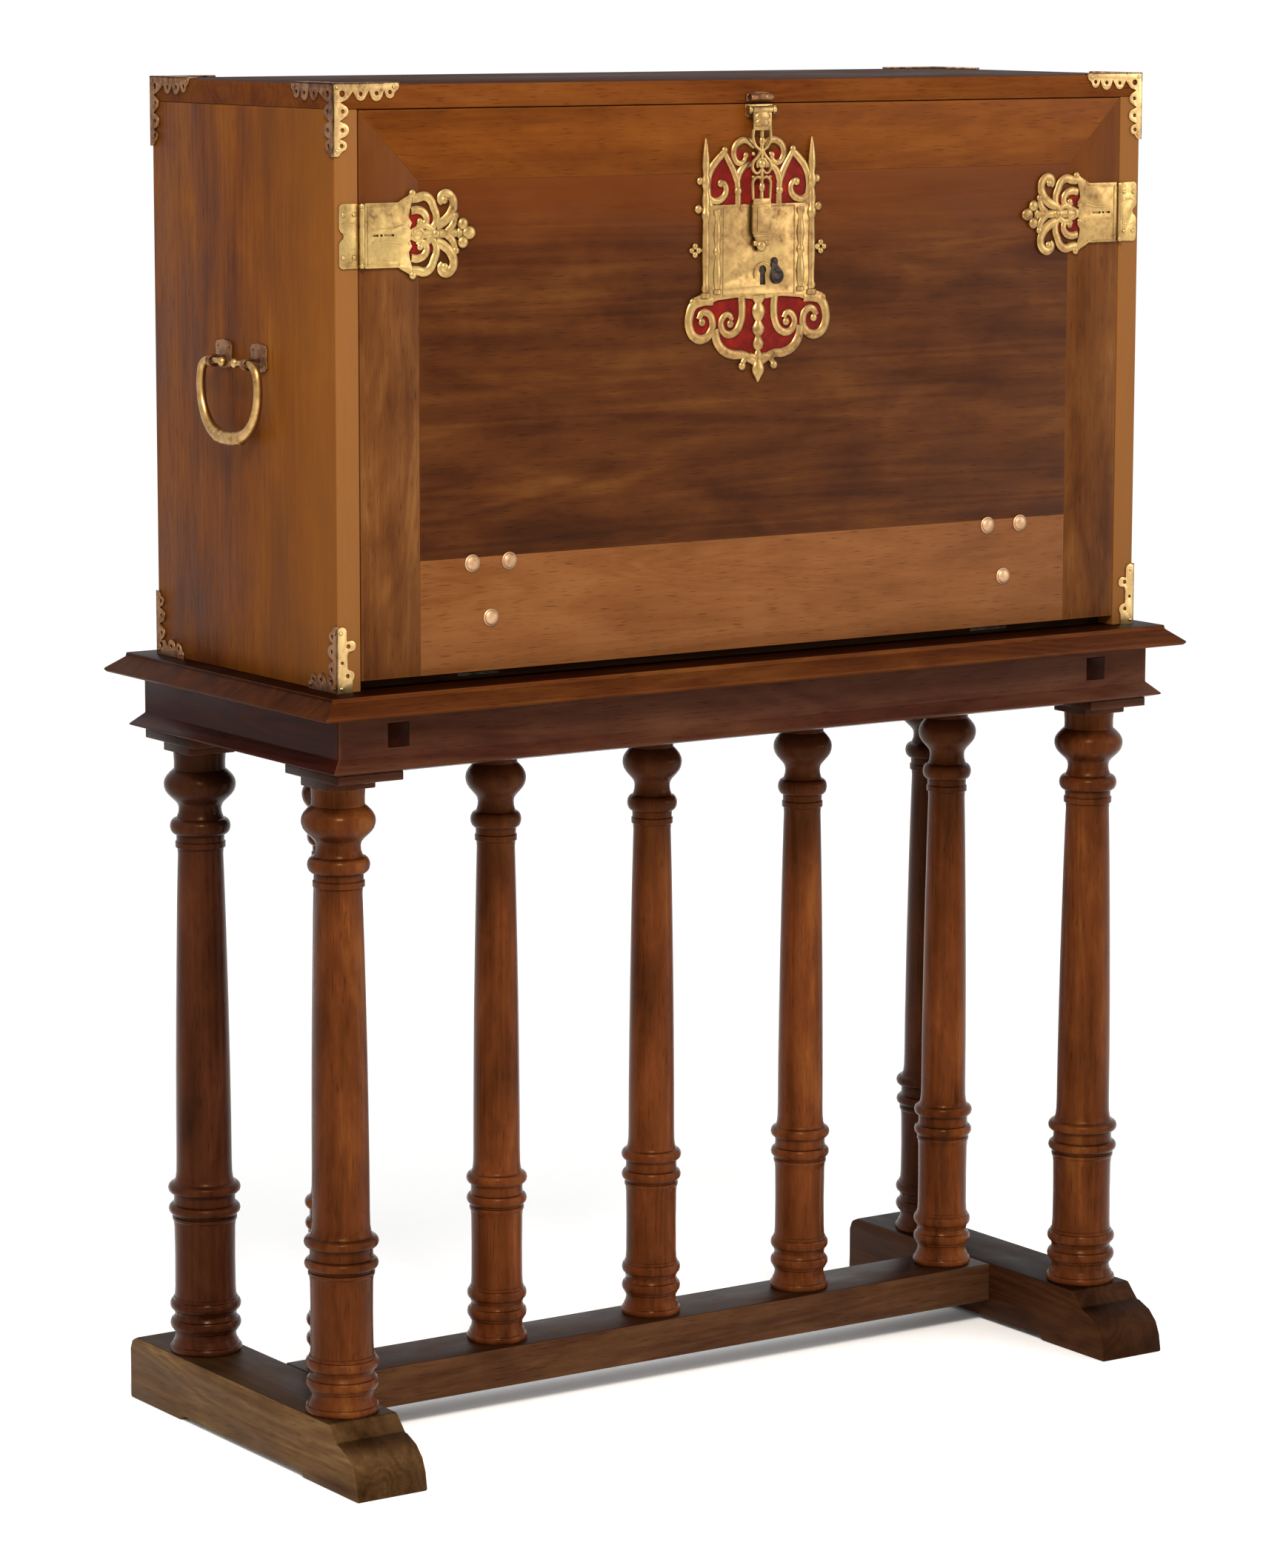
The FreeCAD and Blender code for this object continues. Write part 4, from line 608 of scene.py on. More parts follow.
# Width, slimness at the end and course of each scroll on the right half; the left half mirrors it
LOCK_SCROLLS = (
    (9.4, 0.8, [(64, 1344), (67, 1357), (67, 1370), (63, 1382), (55, 1392), (44, 1402)]),
    (7.8, 1, [(27, 1343), (27, 1354), (27.5, 1365), (28.5, 1373)]),
    (8.2, 0.7, [(28, 1370), (33, 1381), (39, 1391), (45, 1401)]),
    (8.2, 0.7, [(28, 1370), (24, 1380), (17, 1386), (7, 1388)]),
    (8, 0.65, [(6, 1407), (15, 1413), (25, 1412), (32, 1405), (32, 1395), (26, 1389), (19, 1391), (17, 1397)]),
    (8.2, 0.7, [(66, 1353), (58, 1349), (49, 1351), (43, 1358), (44, 1366), (50, 1370)]),
    (11, 0.6, [(60, 1243), (72, 1243), (84, 1239), (90, 1228), (90, 1214), (83, 1204), (72, 1202), (62, 1209),
                (60, 1220), (65, 1229), (73, 1230), (78, 1223)]),
    (10.5, 0.8, [(57, 1212), (54, 1199), (46, 1189), (34, 1184), (21, 1183), (9, 1178), (0, 1172)]),
    (9.2, 0.6, [(22, 1246), (21, 1232), (23, 1218), (30, 1208), (41, 1206), (48, 1213), (47, 1223), (39, 1227),
                (34, 1221)]),
    (7.5, 0.8, [(0, 1177), (8, 1181), (16, 1179), (21, 1172)]),
    (4, 1, [(68, 1371), (73, 1371), (78, 1371)]),
    (4, 1, [(68, 1341), (74, 1341), (80, 1341)]),
    (4, 1, [(68, 1297), (74, 1297), (80, 1297)]),
)
# Right, up and radius of the beads on the right half
LOCK_BEADS = (
    (45, 1403, 4.2), (17, 1397, 4), (50, 1368, 4.6), (74, 1220, 4.6), (37, 1217, 4.6), (27.3, 1359, 5.2),
    (77, 1371, 4.4), (79, 1341, 5), (78.5, 1297, 3.6), (87.5, 1297, 3.2), (83, 1301.5, 3.6), (83, 1292.5, 3.6),
    (21, 1171, 4.8), (86, 1242, 4.4),
)
PILLAR_PROFILE = [(1246, 6.5), (1251, 6.5), (1252, 4.2), (1256, 5.6), (1260, 4), (1270, 3.9), (1290, 4.8),
                  (1310, 4.5), (1328, 3.8), (1333, 5.6), (1338, 5.6), (1340, 4), (1350, 5.4), (1356, 4.4),
                  (1361, 3.4), (1366, 5.4), (1372, 5.8), (1377, 3.6), (1385, 4.9), (1396, 4.5), (1406, 3),
                  (1416, 0.8)]
BALUSTER_PROFILE = [(1250, 5.2), (1254, 5.2), (1255, 3), (1262, 4.6), (1272, 5.4), (1284, 3.8), (1290, 2.8),
                    (1293, 4.8), (1297, 4.8), (1300, 3), (1308, 4.4), (1314, 5), (1324, 3.6), (1332, 2.6),
                    (1335, 5), (1340, 5)]
TAIL_PROFILE = [(1153, 0.8), (1158, 4), (1163, 7.4), (1168, 8.4), (1173, 6.5), (1177, 4), (1181, 5.6), (1185, 4.5),
                (1187, 3), (1190, 6), (1195, 7.5), (1200, 5), (1203, 4), (1207, 7.5), (1212, 8.5), (1216, 6),
                (1219, 4), (1223, 7), (1229, 9), (1234, 8), (1238, 5), (1243, 8.5), (1247, 9)]

half_plate = [(67, 1345), (67, 1254), (72, 1251), (85, 1247), (87, 1240), (80, 1236), (66, 1239), (54, 1243),
              (30, 1245), (10, 1243)]
keyhole = arc(5, 1274, 4.8, -50, 230, 12) + [(1.4, 1258), (8.6, 1258)]
staple_slot = rectangle(-4.5, 1296, 4.5, 1318)
lock_parts = [
    plate("lock_sheet", half_plate + flipped(half_plate), (keyhole, staple_slot), ease=0.6),
    turning("lock_tail", TAIL_PROFILE, (0, PLATE_Y, 0), flatten=0.5),
    # Raised lines round the keyhole and along the plate
    scroll("key_rim", arc(5, 1270, 11.5, 205, -25, 10), 2.2, 2, at=PLATE_Y - 1.3),
]
for height in (1247.5, 1342.5):
    line = [(right, height) for right in (-46, -20, 20, 46)]
    lock_parts.append(scroll("lock_edge", line, 2, 1.8, at=PLATE_Y - 1))
for side in (-1, 1):
    for width, slim, points in LOCK_SCROLLS:
        lock_parts.append(scroll("lock_scroll", sided(points, side), width, 3.6, slim))
    for right, up, radius in LOCK_BEADS:
        lock_parts.append(ball("lock_bead", (right * side, PLATE_Y, up), radius, (1, 0.5, 1)))
    lock_parts += [
        turning("lock_pillar", PILLAR_PROFILE, (70 * side, PLATE_Y - 0.4, 0), flatten=0.7),
        turning("lock_baluster", BALUSTER_PROFILE, (55 * side, PLATE_Y - 1, 0), flatten=0.6),
        scroll("lock_rim", [(47 * side, z) for z in (1342, 1320, 1290, 1262, 1247)], 1.6, 1.4, at=PLATE_Y - 1.2),
    ]
finish_brass("lock_plate_pierced", lock_parts, FLAP, RUBBED_BRASS, "lock_plate")

# Drop-shaped cover of the keyhole, swung aside on its pin, in iron, and behind the hole a dark iron sheet for the
# works, a painted shade in the keyhole

DROP = (23, 1267)
COVER_PIN = (20, 1283.5)
cover_outline = (arc(*DROP, 8.8, 150, 400, 16) + [(23.6, 1279)] + arc(*COVER_PIN, 3.8, -20, 200, 6)
                 + [(15.6, 1278.5)])
finish_piece(join("key_cover_iron", [
    plate("key_cover", cover_outline, thick=2.4, ease=0.7, at=PLATE_Y - 2.4),
    scroll("key_cover_rim", ring(*DROP, 6.9, 16), 2.2, 1.8, closed=True, at=PLATE_Y - 3.7),
    ball("key_cover_boss", (DROP[0], PLATE_Y - 3.4, DROP[1]), 4.4, (1, 0.4, 1)),
    ball("key_cover_pin", (COVER_PIN[0], PLATE_Y - 3.6, COVER_PIN[1]), 2.6, (1, 0.6, 1)),
]), FLAP, OLD_IRON, "iron_fittings", angle=40)
# A dark iron sheet behind the keyhole: a painted shade in the hole
finish_piece(plate("keyhole_shade_sheet", rectangle(-6, 1253, 16, 1283), thick=0.6, ease=0.1, at=BEHIND_PLATE_Y),
             FLAP, OLD_IRON, "iron_fittings")

# Velvet behind the pierced work of the plate and of the two latches

half_velvet = [(6, 1397), (22, 1403), (42, 1399), (57, 1386), (63, 1368), (61, 1345), (60, 1250), (68, 1243),
               (82, 1237), (87, 1226), (85, 1211), (74, 1204), (60, 1208), (53, 1199), (43, 1189), (30, 1184),
               (8, 1180)]
latch_velvet = [(444, 1302), (438, 1298), (424, 1298), (412, 1306), (406, 1318), (406, 1330), (412, 1342),
                (424, 1350), (438, 1350), (444, 1346)]
velvet_parts = [plate("velvet", outline, holes, thick=0.9, ease=0.3, at=VELVET_Y) for outline, holes in (
    (half_velvet + flipped(half_velvet), (staple_slot,)), (sided(latch_velvet, -1), ()), (latch_velvet, ()))]
finish_piece(join("velvet_under_mounts", velvet_parts), FLAP, RED_VELVET, "velvet_red", "velvet_backings")

# Hasp: a moulded head, pierced leafwork and a plain rimmed end, with its staple behind

HASP_Y = -198.5
HASP_PIN_Z = 1446
HASP_HEAD_PROFILE = [(1424, 8), (1426, 10), (1428, 10), (1429, 7.5), (1432, 9.5), (1435, 7.5), (1437, 10.5),
                     (1440, 10.5), (1442, 8), (1444, 9)]
HASP_LEAVES = (
    [(11, 1425), (11.5, 1415), (8, 1407), (2, 1402), (0, 1396)],
    [(0, 1404), (5, 1396), (11, 1390), (11.5, 1382), (6, 1378), (1, 1382)],
    [(0, 1372), (6, 1374), (11, 1370), (11.5, 1361), (11, 1350)],
    [(2, 1394), (6, 1389), (5.5, 1384)],
)
hasp_end = [(11, 1351), (12, 1346), (12, 1314)] + arc(0, 1310, 9, 0, -90, 5)
hasp_parts = [
    turning("hasp_barrel", bead(-12.8, 12.8, 3.4, 3.9, 8), (0, HASP_Y, HASP_PIN_Z), ALONG_X),
    plate("hasp_head", rectangle(-12, 1424, 12, 1447), thick=3, at=HASP_Y),
    turning("hasp_half_column", HASP_HEAD_PROFILE, (0, HASP_Y - 0.6, 0), flatten=0.34),
    scroll("hasp_stem", [(0, 1425), (0, 1388), (0, 1350)], 4.5, 3.2, at=HASP_Y),
    ball("hasp_flower", (0, HASP_Y - 0.6, 1388), 5.2, (1, 0.55, 1)),
    ball("hasp_upper_bud", (0, HASP_Y - 0.4, 1412), 4, (1, 0.6, 1.4)),
    ball("hasp_lower_bud", (0, HASP_Y - 0.4, 1363), 4, (1, 0.6, 1.4)),
    plate("hasp_end", hasp_end + flipped(hasp_end)[1:], thick=3, at=HASP_Y),
    plate("hasp_end_panel", rectangle(-6.5, 1315, 6.5, 1342), thick=1.2, at=HASP_Y - 1.6),
    block("hasp_staple", (-2.5, -197.4, 1300), (2.5, -186.4, 1314), 0.8),
    ball("hasp_tip", (0, HASP_Y - 0.4, 1300), 6.4, (1, 0.5, 1)),
]
for height in (1311, 1346):
    hasp_parts.append(scroll("hasp_rim", [(-11, height), (0, height), (11, height)], 2.4, 2, at=HASP_Y - 1.2))
for side in (-1, 1):
    for points in HASP_LEAVES:
        hasp_parts.append(scroll("hasp_leaf", sided(points, side), 3.8, 3, 0.8, at=HASP_Y))
    for right, up, radius in ((11.2, 1399, 2.2), (11.2, 1374, 2), (7.5, 1303, 3.4)):
        hasp_parts.append(ball("hasp_bead", (right * side, HASP_Y, up), radius, (1, 0.7, 1)))
finish_brass("hasp_pierced", hasp_parts, "hasp", RUBBED_BRASS, "hasp")

# The bracket that carries the hasp, and the keeper above it on the top board

bracket_sheet = [(-18, 1451.5), (18, 1451.5), (18, 1440), (13, 1437.5), (-13, 1437.5), (-18, 1440)]
bracket_cheek = [(-202, 1444), (-200, 1450), (-192, 1450.5), (-192, 1439.5), (-200, 1441.5)]
half_keeper = [(17, 1455), (17, 1461), (12, 1464), (4, 1465)]
keeper_lugs = [(-201, 1457), (-198, 1462.5), (-191, 1463.5), (-191, 1455.5), (-198, 1455.5)]
bracket_parts = [
    plate("bracket_sheet", bracket_sheet, thick=1.8, ease=0.4, at=BRACKET_Y),
    turning("bracket_pin", [(-16, 1.8), (16, 1.8)], (0, HASP_Y, HASP_PIN_Z), ALONG_X, sides=16),
]
keeper_parts = [
    plate("keeper_sheet", half_keeper + flipped(half_keeper), thick=2.4, at=LEAF_Y),
    plate("keeper_lugs", keeper_lugs, thick=26, face="side", at=0),
]
for side in (-1, 1):
    bracket_parts += [
        turning("bracket_knuckle", bead(0, 4.6, 2.6, 4), (15.7 * side - 2.3, HASP_Y, HASP_PIN_Z), ALONG_X),
        plate("bracket_cheek", bracket_cheek, thick=3.4, face="side", at=15.7 * side),
    ]
    keeper_parts += [
        turning("keeper_knuckle", bead(0, 10, 2.8, 3.8), (9.5 * side - 5, -197.4, 1459), ALONG_X),
        ball("keeper_nail", (14.6 * side, -193.4, 1461.5), 1.6, (1, 0.6, 1)),
    ]
finish_brass("hasp_bracket_hinged", bracket_parts, FLAP, GILT_BRASS, "hasp_bracket")
finish_brass("hasp_keeper_filed", keeper_parts, BODY, BROWNED_BRASS, "hasp_keeper")

# Side latches: a cusped plate on its hinge, C-scrolls over velvet, and a long leafy tongue towards the middle

# Distances from the hinge towards the middle, and heights from the latch's own middle
LATCH_PLATE = [(44, 33.5), (48, 36), (56, 40), (61, 44.5), (64, 42), (61, 34), (58.5, 26), (57, 18), (61, 12), (58, 7),
               (63, 0)]
LATCH_SCROLLS = (
    (9.6, 0.8, [(61, 37), (68, 37.5), (77, 39), (84, 35), (88, 27), (91, 19), (90, 10), (84, 4)]),
    (10.6, 0.7, [(90, 8), (101, 13), (109, 21), (112, 31), (108, 39), (100.5, 41), (96, 36), (99, 31)]),
    (8.6, 0.7, [(60, 24), (69, 25), (77, 21), (79, 13), (73, 9), (68, 12)]),
    (8.6, 0.8, [(104, 1), (111, 8), (114, 16)]),
    (8, 0.8, [(60, 1), (69, 5), (77, 9), (85, 5), (92, 1)]),
)
LATCH_BEADS = (
    (101, 34.5, 4.4), (62, 42, 4.4), (71, 13, 4), (114.5, 18, 4.2), (123, 9.5, 6.6), (57, 9, 3.2),
)
# Narrow slots pierced in a row along the plate's middle
LATCH_SLOTS = [rectangle(start, -1, end, 1) for start, end in ((14, 20), (22.5, 25), (27.5, 39))]
LATCH_Y = -193.4
LATCH_MIDDLE = 1324
LATCH_PIN_X = 500
LATCH_PIN_Y = -194.95
# Half the barrel's length, the plate's own half height and its edge beside the barrel
BARREL_REACH, PLATE_REACH, BARREL_EDGE = 28.8, 33.5, 4.2


def latch(side):
    """One latch, its tongue towards the middle, hinged at the flap's edge."""
    def laid(points, up=1):
        """Latch distances as right and up on this side."""
        return [((LATCH_PIN_X - along) * side, LATCH_MIDDLE + rise * up) for along, rise in points]

    def boss(name, along, rise, proud, radius, flatten):
        """A bead at a latch distance, so far in front of the plate's middle."""
        (right, up), = laid([(along, rise)])
        return ball(name, (right, LATCH_Y - proud, up), radius, flatten)

    upper = [(0.5, BARREL_REACH), (BARREL_EDGE, BARREL_REACH), (BARREL_EDGE, PLATE_REACH)] + LATCH_PLATE
    outline = upper + [(along, -rise) for along, rise in reversed(upper[:-1])]
    parts = [
        plate("latch_sheet", laid(outline), [laid(slot) for slot in LATCH_SLOTS], at=LATCH_Y),
        plate("latch_lining", laid(rectangle(11, -2.5, 42, 2.5)), thick=0.5, ease=0.1, at=LATCH_Y + 0.9),
        turning("latch_barrel", bead(-28.4, -10, 2.7, 3.1) + bead(-9.5, 9.5, 2.7, 3.1) + bead(10, 28.4, 2.7, 3.1),
                (LATCH_PIN_X * side, LATCH_PIN_Y, LATCH_MIDDLE), sides=20),
        scroll("latch_tongue", laid([(60, 0), (90, 0), (122, 0)]), 10, 3.4, 0.8, at=LATCH_Y),
        scroll("latch_rosette", laid(ring(69, 0, 5.6, 12)), 3.2, 3, closed=True, at=LATCH_Y - 0.7),
        scroll("latch_border", laid([(8, 29), (8, 0), (8, -29)]), 1.6, 1.4, at=LATCH_Y - 1.2),
        boss("latch_tongue_boss", 90, 0, 0.6, 5, (1, 0.55, 1)),
        boss("latch_tip", 131, 0, 0, 7, (1.15, 0.32, 1)),
        boss("latch_tip_collar", 118, 0, 0.3, 5, (0.6, 0.5, 1.2)),
    ]
    for up in (-1, 1):
        for width, slim, points in LATCH_SCROLLS:
            parts.append(scroll("latch_scroll", laid(points, up), width, 3.2, slim, at=LATCH_Y))
        for along, rise, radius in LATCH_BEADS:
            parts.append(boss("latch_bead", along, rise * up, 0, radius, (1, 0.5, 1)))
        # Raised borders along the plate's edges
        for points in ([(7, 30), (25, 30), (46, 31)], [(13, 7), (36, 7), (50, 10)]):
            parts.append(scroll("latch_border", laid(points, up), 1.6, 1.4, at=LATCH_Y - 1.2))
    return parts


finish_brass("latch_left_pierced", latch(-1), "latch_left", GILT_BRASS, "latch_left")
finish_brass("latch_right_pierced", latch(1), "latch_right", RUBBED_BRASS, "latch_right")

# Hinge posts of the latches on the flap, and the keepers on the side boards

FINIAL_PROFILE = [(0, 3), (1, 3.3), (3.6, 3.1), (4.2, 2.6), (4.6, 1.4), (4.9, 0.2)]
leaf = ([(503.4, 1291), (521, 1290.6)] + arc(521, 1295.5, 5, -90, 0, 4)
        + [(526, 1316)] + arc(525, 1324, 4.5, -80, -280, 8)[1:-1] + [(526, 1332)]
        + arc(521, 1352.5, 5, 0, 90, 4) + [(503.4, 1357)])
post_parts = []
leaf_parts = []
for side in (-1, 1):
    for up in (-1, 1):
        end = LATCH_MIDDLE + BARREL_REACH * up
        post_parts.append(turning("latch_post", FINIAL_PROFILE, (LATCH_PIN_X * side, LATCH_PIN_Y, end),
                                  (0 if up > 0 else 180, 0, 0), sides=20))
        foot = sorted((497.2 * side, LATCH_PIN_X * side))
        heights = sorted((end + 0.3 * up, end + 4.4 * up))
        post_parts.append(block("latch_post_foot", (foot[0], -194.9, heights[0]), (foot[1], -191.2, heights[1]), 0.3))
        for right in (508, 521):
            leaf_parts.append(ball("keeper_rivet", (right * side, -193.3, LATCH_MIDDLE + 22 * up), 2.6, (1, 0.65, 1)))
        line = [(right * side, LATCH_MIDDLE + rise * up) for right, rise in ((506, 13), (515, 14.5), (523, 13))]
        leaf_parts.append(scroll("keeper_line", line, 1.5, 1.2, at=-193.2))
    leaf_parts.append(plate("keeper_leaf", sided(leaf, side), thick=2.2, at=LEAF_Y))
finish_brass("latch_posts_turned", post_parts, FLAP, GILT_BRASS, "latch_pins")
finish_brass("latch_keepers_filed", leaf_parts, BODY, GILT_BRASS, "latch_keepers")

# Corner mounts: pierced and lobed angle pieces, one set drawn at the right front and mirrored

SIDE_X, FRONT_Y, TOP_Z, CHEST_FOOT_Z = 532, -193, 1480, 852
FRONT_NAIL = (1, 0.6, 1)
SIDE_NAIL = (0.6, 1, 1)
TOP_NAIL = (1, 1, 0.5)


def lobed_edge(length):
    """The inner edge of a mount's leg, from its tip back towards the corner: distance along, then depth."""
    points = [(length, 0)] + arc(length - 5, 4, 5, -40, 70, 4) + arc(length - 11, 11, 5.5, 0, 160, 6)
    points += [(length - 18, 8)] + arc(length - 27, 12, 7, 20, 160, 6)
    if length > 65:
        points += [(length - 36, 8)] + arc(length - 46, 12, 6.5, 20, 160, 6)
    return points + [(length - (55 if length > 65 else 36), 9)]


def leg_holes(length):
    """Round piercings in the lobes of a leg."""
    places = [(length - 11, 10), (length - 27, 11)] + ([(length - 46, 11.5)] if length > 65 else [])
    return [ring(along, deep, 2.2, 10) for along, deep in places]


def angle_plate(across, down, place):
    """One face of a mount: two lobed legs from the corner, pierced, drawn at a corner by a placing function."""
    def laid(points, swapped=False):
        """Leg distances as right and up from the corner."""
        return [place(*((deep, along) if swapped else (along, deep))) for along, deep in points]

    outline = laid([(0, 0)] + lobed_edge(across) + [(17, 17)]) + laid(reversed(lobed_edge(down)), True)
    holes = [laid(hole) for hole in leg_holes(across) + [ring(11, 11, 3.4, 8)]]
    return outline, holes + [laid(hole, True) for hole in leg_holes(down)]


def strip_plate(rise, place):
    """The narrow front strip of a mount at the foot: straight outside, lobed inside."""
    inner = [(0, 19), (12, 19)] + arc(18, 16, 5.5, 120, 20, 5) + [(25, 13), (39, 12.5), (43, 14)]
    inner += arc(49, 17, 6, 140, 10, 6) + [(54, 12)] + arc(rise - 7, 6, 6.5, 70, -40, 6) + [(rise, 0)]
    holes = [ring(*hole, 10) for hole in ((18, 13, 2.2), (49, 14, 2.4), (32, 6.5, 1.8))]
    outline, *holes = [[place(deep, along) for along, deep in line] for line in ([(0, 0)] + inner, *holes)]
    return outline, holes


def mount_set(name, plates, nails):
    """One set of a corner's plates and nails as a piece, right and left."""
    parts = [plate("mount_plate", outline, holes, thick=2, ease=0.45, face=face, at=at)
             for (outline, holes), face, at in plates]
    parts += [ball("mount_nail", place, 2.2, flatten) for flatten, places in nails for place in places]
    right = join(name, parts)
    return join(name, [right, copy_of(right, name, mirror=(-1, 1, 1))])


front_mounts = mount_set(
    "front_mounts",
    [(angle_plate(79, 75, lambda p, q: (SIDE_X - p, TOP_Z - q)), "front", MOUNT_Y),
     (strip_plate(70, lambda p, q: (SIDE_X - p, CHEST_FOOT_Z + q)), "front", MOUNT_Y)],
    [(FRONT_NAIL, [(right, -193.2, up) for right, up in (
        (527, 1475), (459, 1475.5), (527, 1411), (527, 857), (527, 915))])])
side_mounts = mount_set(
    "side_mounts",
    [(angle_plate(85, 75, lambda p, q: (FRONT_Y + p, TOP_Z - q)), "side", 531),
     (angle_plate(79, 85, lambda p, q: (SIDE_X - p, FRONT_Y + q)), "top", 1479),
     (angle_plate(60, 70, lambda p, q: (FRONT_Y + p, CHEST_FOOT_Z + q)), "side", 531)],
    [(SIDE_NAIL, [(532.2, y, up) for y, up in (
        (-188, 1475), (-114, 1475.5), (-188, 1411), (-188, 857), (-139, 857), (-188, 915))]),
     (TOP_NAIL, [(right, y, 1478.8) for right, y in ((526, -187), (460, -188), (527, -115))])])
back_mounts = [copy_of(mounts, "back_mounts", mirror=(1, -1, 1)) for mounts in (front_mounts, side_mounts)]
finish_brass("corner_mounts_front_pierced", [front_mounts], BODY, PALE_BRASS, "corner_mounts_front")
finish_brass("corner_mounts_side_pierced", [side_mounts], BODY, BROWNED_BRASS, "corner_mounts_front")
finish_brass("corner_mounts_back_pierced", back_mounts, BODY, BROWNED_BRASS, "corner_mounts_back")

# Hinge studs: domed nails with a turned rim

STUD_PROFILE = [(0, 9.4), (0.9, 9.4), (1.4, 8.9), (1.7, 8.2), (2.3, 8), (3.3, 6.9), (4.2, 4.8), (4.8, 2.4),
                (5, 0.2)]
FLAP_FACE_Y = -191
stud_parts = [turning("hinge_stud", STUD_PROFILE, (right * side, FLAP_FACE_Y, up), TOWARDS_FRONT, sides=32)
              for side in (-1, 1) for right, up in ((342, 919), (319, 978), (365, 978))]
finish_brass("hinge_studs_domed", stud_parts, FLAP, STUD_BRASS, "hinge_studs")

# Side handles: a drop bail with a swollen grip, hung in two ringed staples on small plates

BAIL_X, BAIL_Z = 547, 1184
BAIL_PATH = [(14, 0), (22, 0.5), (34, 1), (47, 0), (56, -6), (60, -17), (60.5, -32), (56, -50), (44, -67), (24, -77.5)]
BAIL_SWELL = [0.6, 0.6, 0.6, 0.85, 0.95, 0.95, 0.95, 1, 1.15, 1.45]
STAPLE_PATH = [(531, 3.2), (540, 4.6), (546, 5.3), (551.5, 3.2), (552.6, 0), (551.5, -3.2), (546, -5.3),
               (540, -4.6), (531, -3.2)]
half_ear = [(0, 1175), (14, 1177), (17, 1180), (16, 1190), (17, 1200), (14, 1204), (0, 1206)]
ear_outline = half_ear + flipped(half_ear[1:-1])
half_bail = [(y, BAIL_Z + z) for y, z in BAIL_PATH]
bail_line = half_bail + [(0, BAIL_Z - 80)] + flipped(half_bail)
bail_swell = BAIL_SWELL + [1.55] + BAIL_SWELL[::-1]
for side, name in ((-1, "left"), (1, "right")):
    bail_parts = [scroll("bail_bar", bail_line, 10.4, 10.4, swell=bail_swell, face="side", at=BAIL_X * side)]
    ear_parts = []
    for way in (-1, 1):
        bail_parts.append(ball("bail_knob", (BAIL_X * side, 13.5 * way, BAIL_Z), 5.4, (1, 0.85, 1)))
        for y, z in ((24, 1106), (13, 1104.4)):
            bail_parts.append(turning("bail_ring", bead(-1.6, 1.6, 6.6, 8, 4), (BAIL_X * side, y * way, z),
                                      TOWARDS_FRONT, sides=20))
        ear_y = 37 * way
        ear_parts += [
            plate("handle_plate", [(ear_y + right, up) for right, up in ear_outline], thick=2.8, face="side",
                  at=531.4 * side),
            # A ring round the bail's pin, with two shanks into the board
            scroll("handle_staple", [(x * side, BAIL_Z + z) for x, z in STAPLE_PATH], 3.4, 7, at=ear_y),
        ]
        ear_parts += [ball("handle_nail", (532.8 * side, ear_y + beside, z), 1.9, SIDE_NAIL)
                      for beside in (-12.5, 12.5) for z in (1181, 1199.5)]
    finish_brass(f"handle_bail_{name}_cast", bail_parts, f"bail_{name}", HANDLE_BRASS, f"handle_bail_{name}", angle=50)
    finish_brass(f"handle_ears_{name}_forged", ear_parts, BODY, BROWNED_BRASS, f"handle_ears_{name}")

# Inside: a narrow bead round each drawer's front and round the niche, and a turned knob on each drawer

CABINET_FRONT = -150
BEAD_WIDTH = 5
# From the niche board's edge in to the arch, and heights of the bead's knots above the board's foot
ARCH_MARGIN = 34
BEAD_KNOTS = (1, 70, 140)
KNOB_PROFILE = [(0, 9.4), (1.6, 9.4), (2.6, 8.4), (3.2, 5.4), (4.6, 4.6), (5.3, 7.3), (6.4, 8.6), (9.2, 8.8),
                (10.6, 7.8), (11.2, 7.3), (11.5, 4.5), (11.6, 0.5)]
bead_parts = []
knob_parts = []
for node in DRAWERS:
    (left, _, low), (right, _, high) = [[v / MM for v in corner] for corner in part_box(node)]
    inside = rectangle(left + BEAD_WIDTH, low + BEAD_WIDTH, right - BEAD_WIDTH, high - BEAD_WIDTH)
    bead_parts.append(plate("drawer_bead", rectangle(left, low, right, high), (inside,), thick=1.8, ease=0.7,
                            at=CABINET_FRONT - 0.5))
    knob_parts.append(turning("drawer_knob", KNOB_PROFILE, ((left + right) / 2, CABINET_FRONT - 0.2, (low + high) / 2),
                              TOWARDS_FRONT, sides=28))
(_, _, low), (right, _, high) = [[v / MM for v in corner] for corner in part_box("niche_arch")]
radius = right - ARCH_MARGIN
spring = high - ARCH_MARGIN - radius
niche_line = [(radius, low + rise) for rise in BEAD_KNOTS] + arc(0, spring, radius, 0, 180, 24)
niche_line += [(-radius, low + rise) for rise in reversed(BEAD_KNOTS)]
bead_parts.append(scroll("niche_bead", niche_line, 6, 3, at=CABINET_FRONT - 0.6))
finish_piece(join("drawer_beads_ebonised", bead_parts), BODY, EBONISED_BEAD, "walnut_inner", angle=40)
finish_brass("drawer_knobs_turned", knob_parts, BODY, HANDLE_BRASS)

# Iron behind and under the flap keeps its own solids

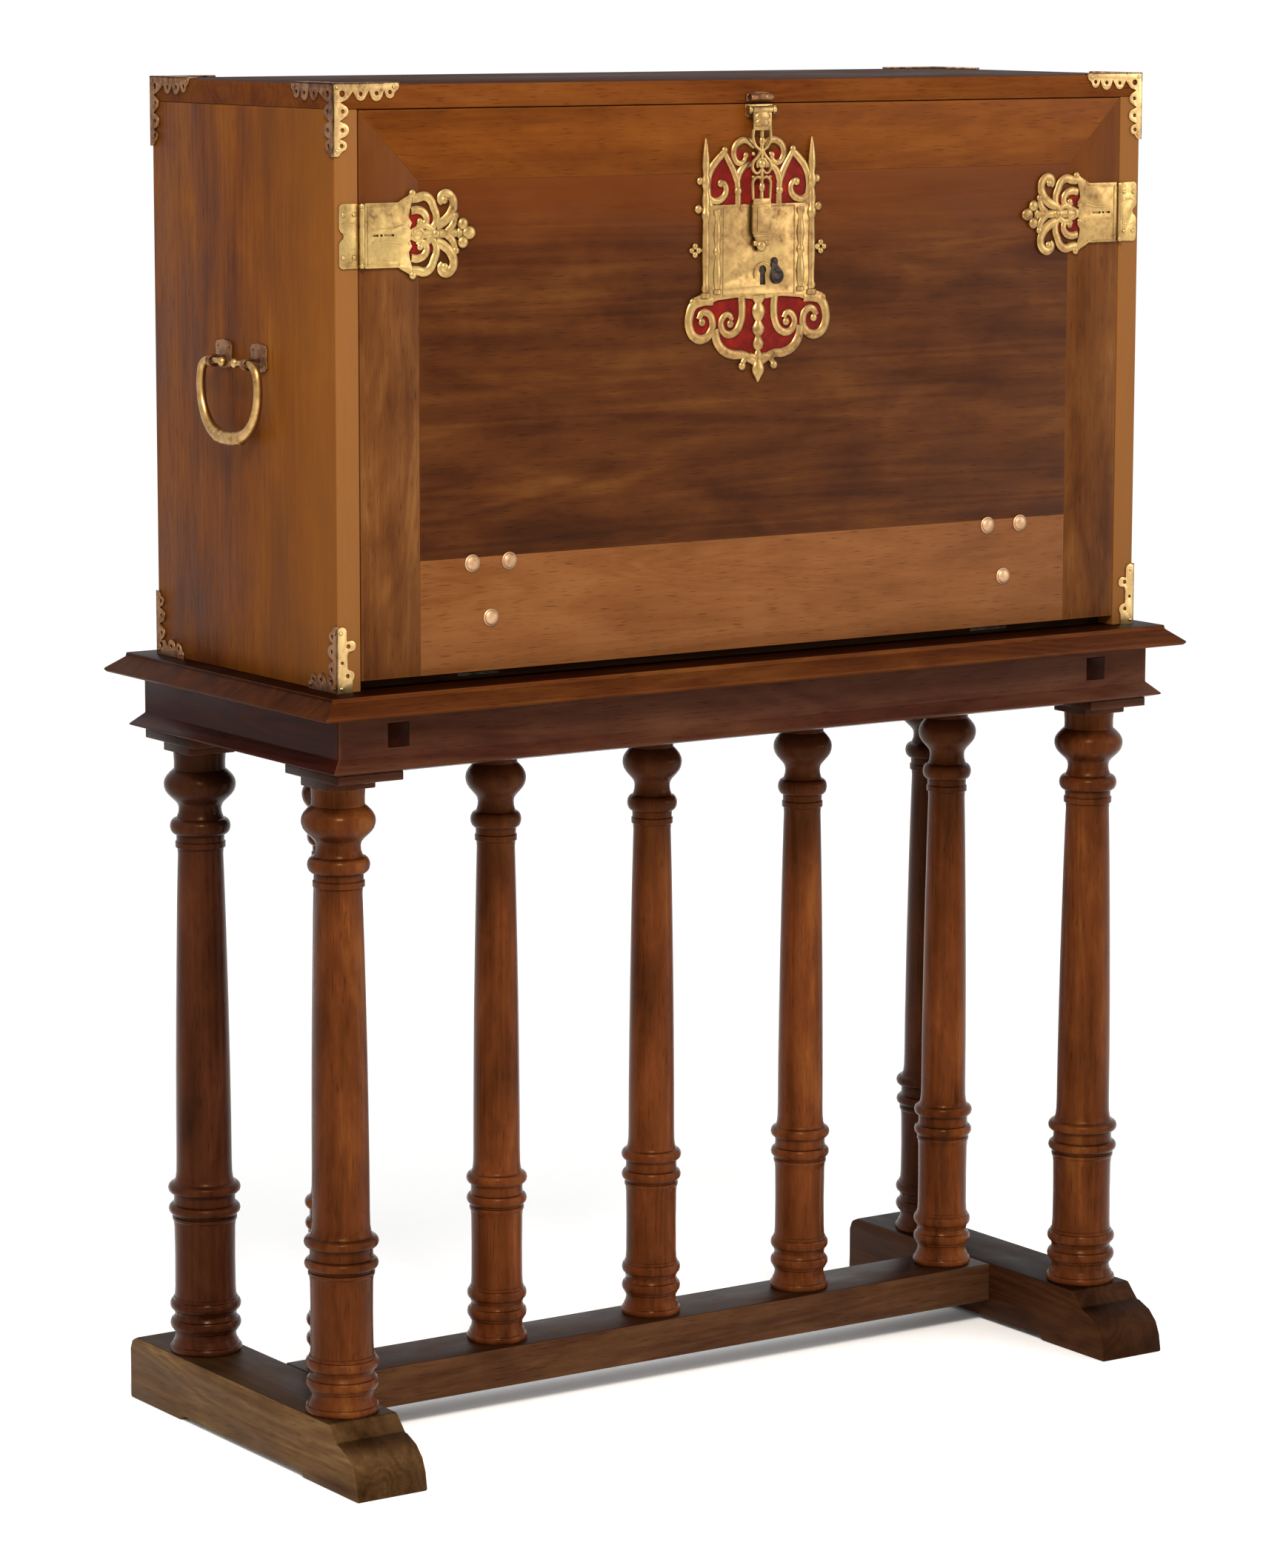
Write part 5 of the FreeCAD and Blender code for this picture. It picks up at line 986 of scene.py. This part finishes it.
for node in ("hinge_leaves", "hinge_straps", "lock_case"):
    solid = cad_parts[node]
    solid.data.materials.clear()
    solid.data.materials.append(OLD_IRON)

# Floor of matt white paper, light and camera

floor_finish = new_material("matt_white_paper_floor")
paper = add(floor_finish, "TexNoise", {
    "Vector": add(floor_finish, "TexCoord", out="Object"), "Scale": 40, "Detail": 3})
paper = add(floor_finish, "ValToRGB", (paper,), stops=[(0.3, "#FAFAF9"), (0.7, "#FCFCFC")])
surface(floor_finish, Base_Color=paper, Roughness=0.85)
clear_selection()
bpy.ops.mesh.primitive_plane_add(size=60, location=(0, 0, 0))
floor = new_piece("floor")
edit_all()
bpy.ops.mesh.subdivide(number_cuts=4)
leave_edit()
floor.data.materials.append(floor_finish)

world = bpy.data.worlds.new("studio")
bpy.context.scene.world = world
world.use_nodes = True
background = world.node_tree.nodes["Background"]
background.inputs["Color"].default_value = paint("#FFFFFF")
background.inputs["Strength"].default_value = 1.06

# Soft lights: name, place, height of the point that it faces, side, watts and colour
for name, place, height, size, watts, colour in (
    ("key_light", (-2.2, -3.6, 4.2), 0.9, 1.2, 330, "#FFF6EC"),
    ("fill_light", (3.6, -3.4, 2.2), 0.8, 2.6, 70, "#FFFFFF"),
):
    clear_selection()
    bpy.ops.object.light_add(type="AREA", location=place)
    light = new_piece(name)
    light.data.shape = "SQUARE"
    light.data.size = size
    light.data.energy = watts
    light.data.color = paint(colour)[:3]
    yaw = math.atan2(place[0], -place[1])
    pitch = math.atan2(height - place[2], math.hypot(place[0], place[1]))
    light.rotation_euler = (math.pi / 2 + pitch, 0, yaw)

CAMERA_PLACE = (-3.256, -4.772, 1.603)
CAMERA_TURN_DEGREES = (80.98, -0.12, -34.14)
clear_selection()
bpy.ops.object.camera_add(location=CAMERA_PLACE, rotation=[math.radians(a) for a in CAMERA_TURN_DEGREES])
camera = new_piece("camera")
camera.data.sensor_width = 36
camera.data.lens = 119
camera.data.clip_end = 200
bpy.context.scene.camera = camera
bpy.context.scene.view_settings.view_transform = "Standard"
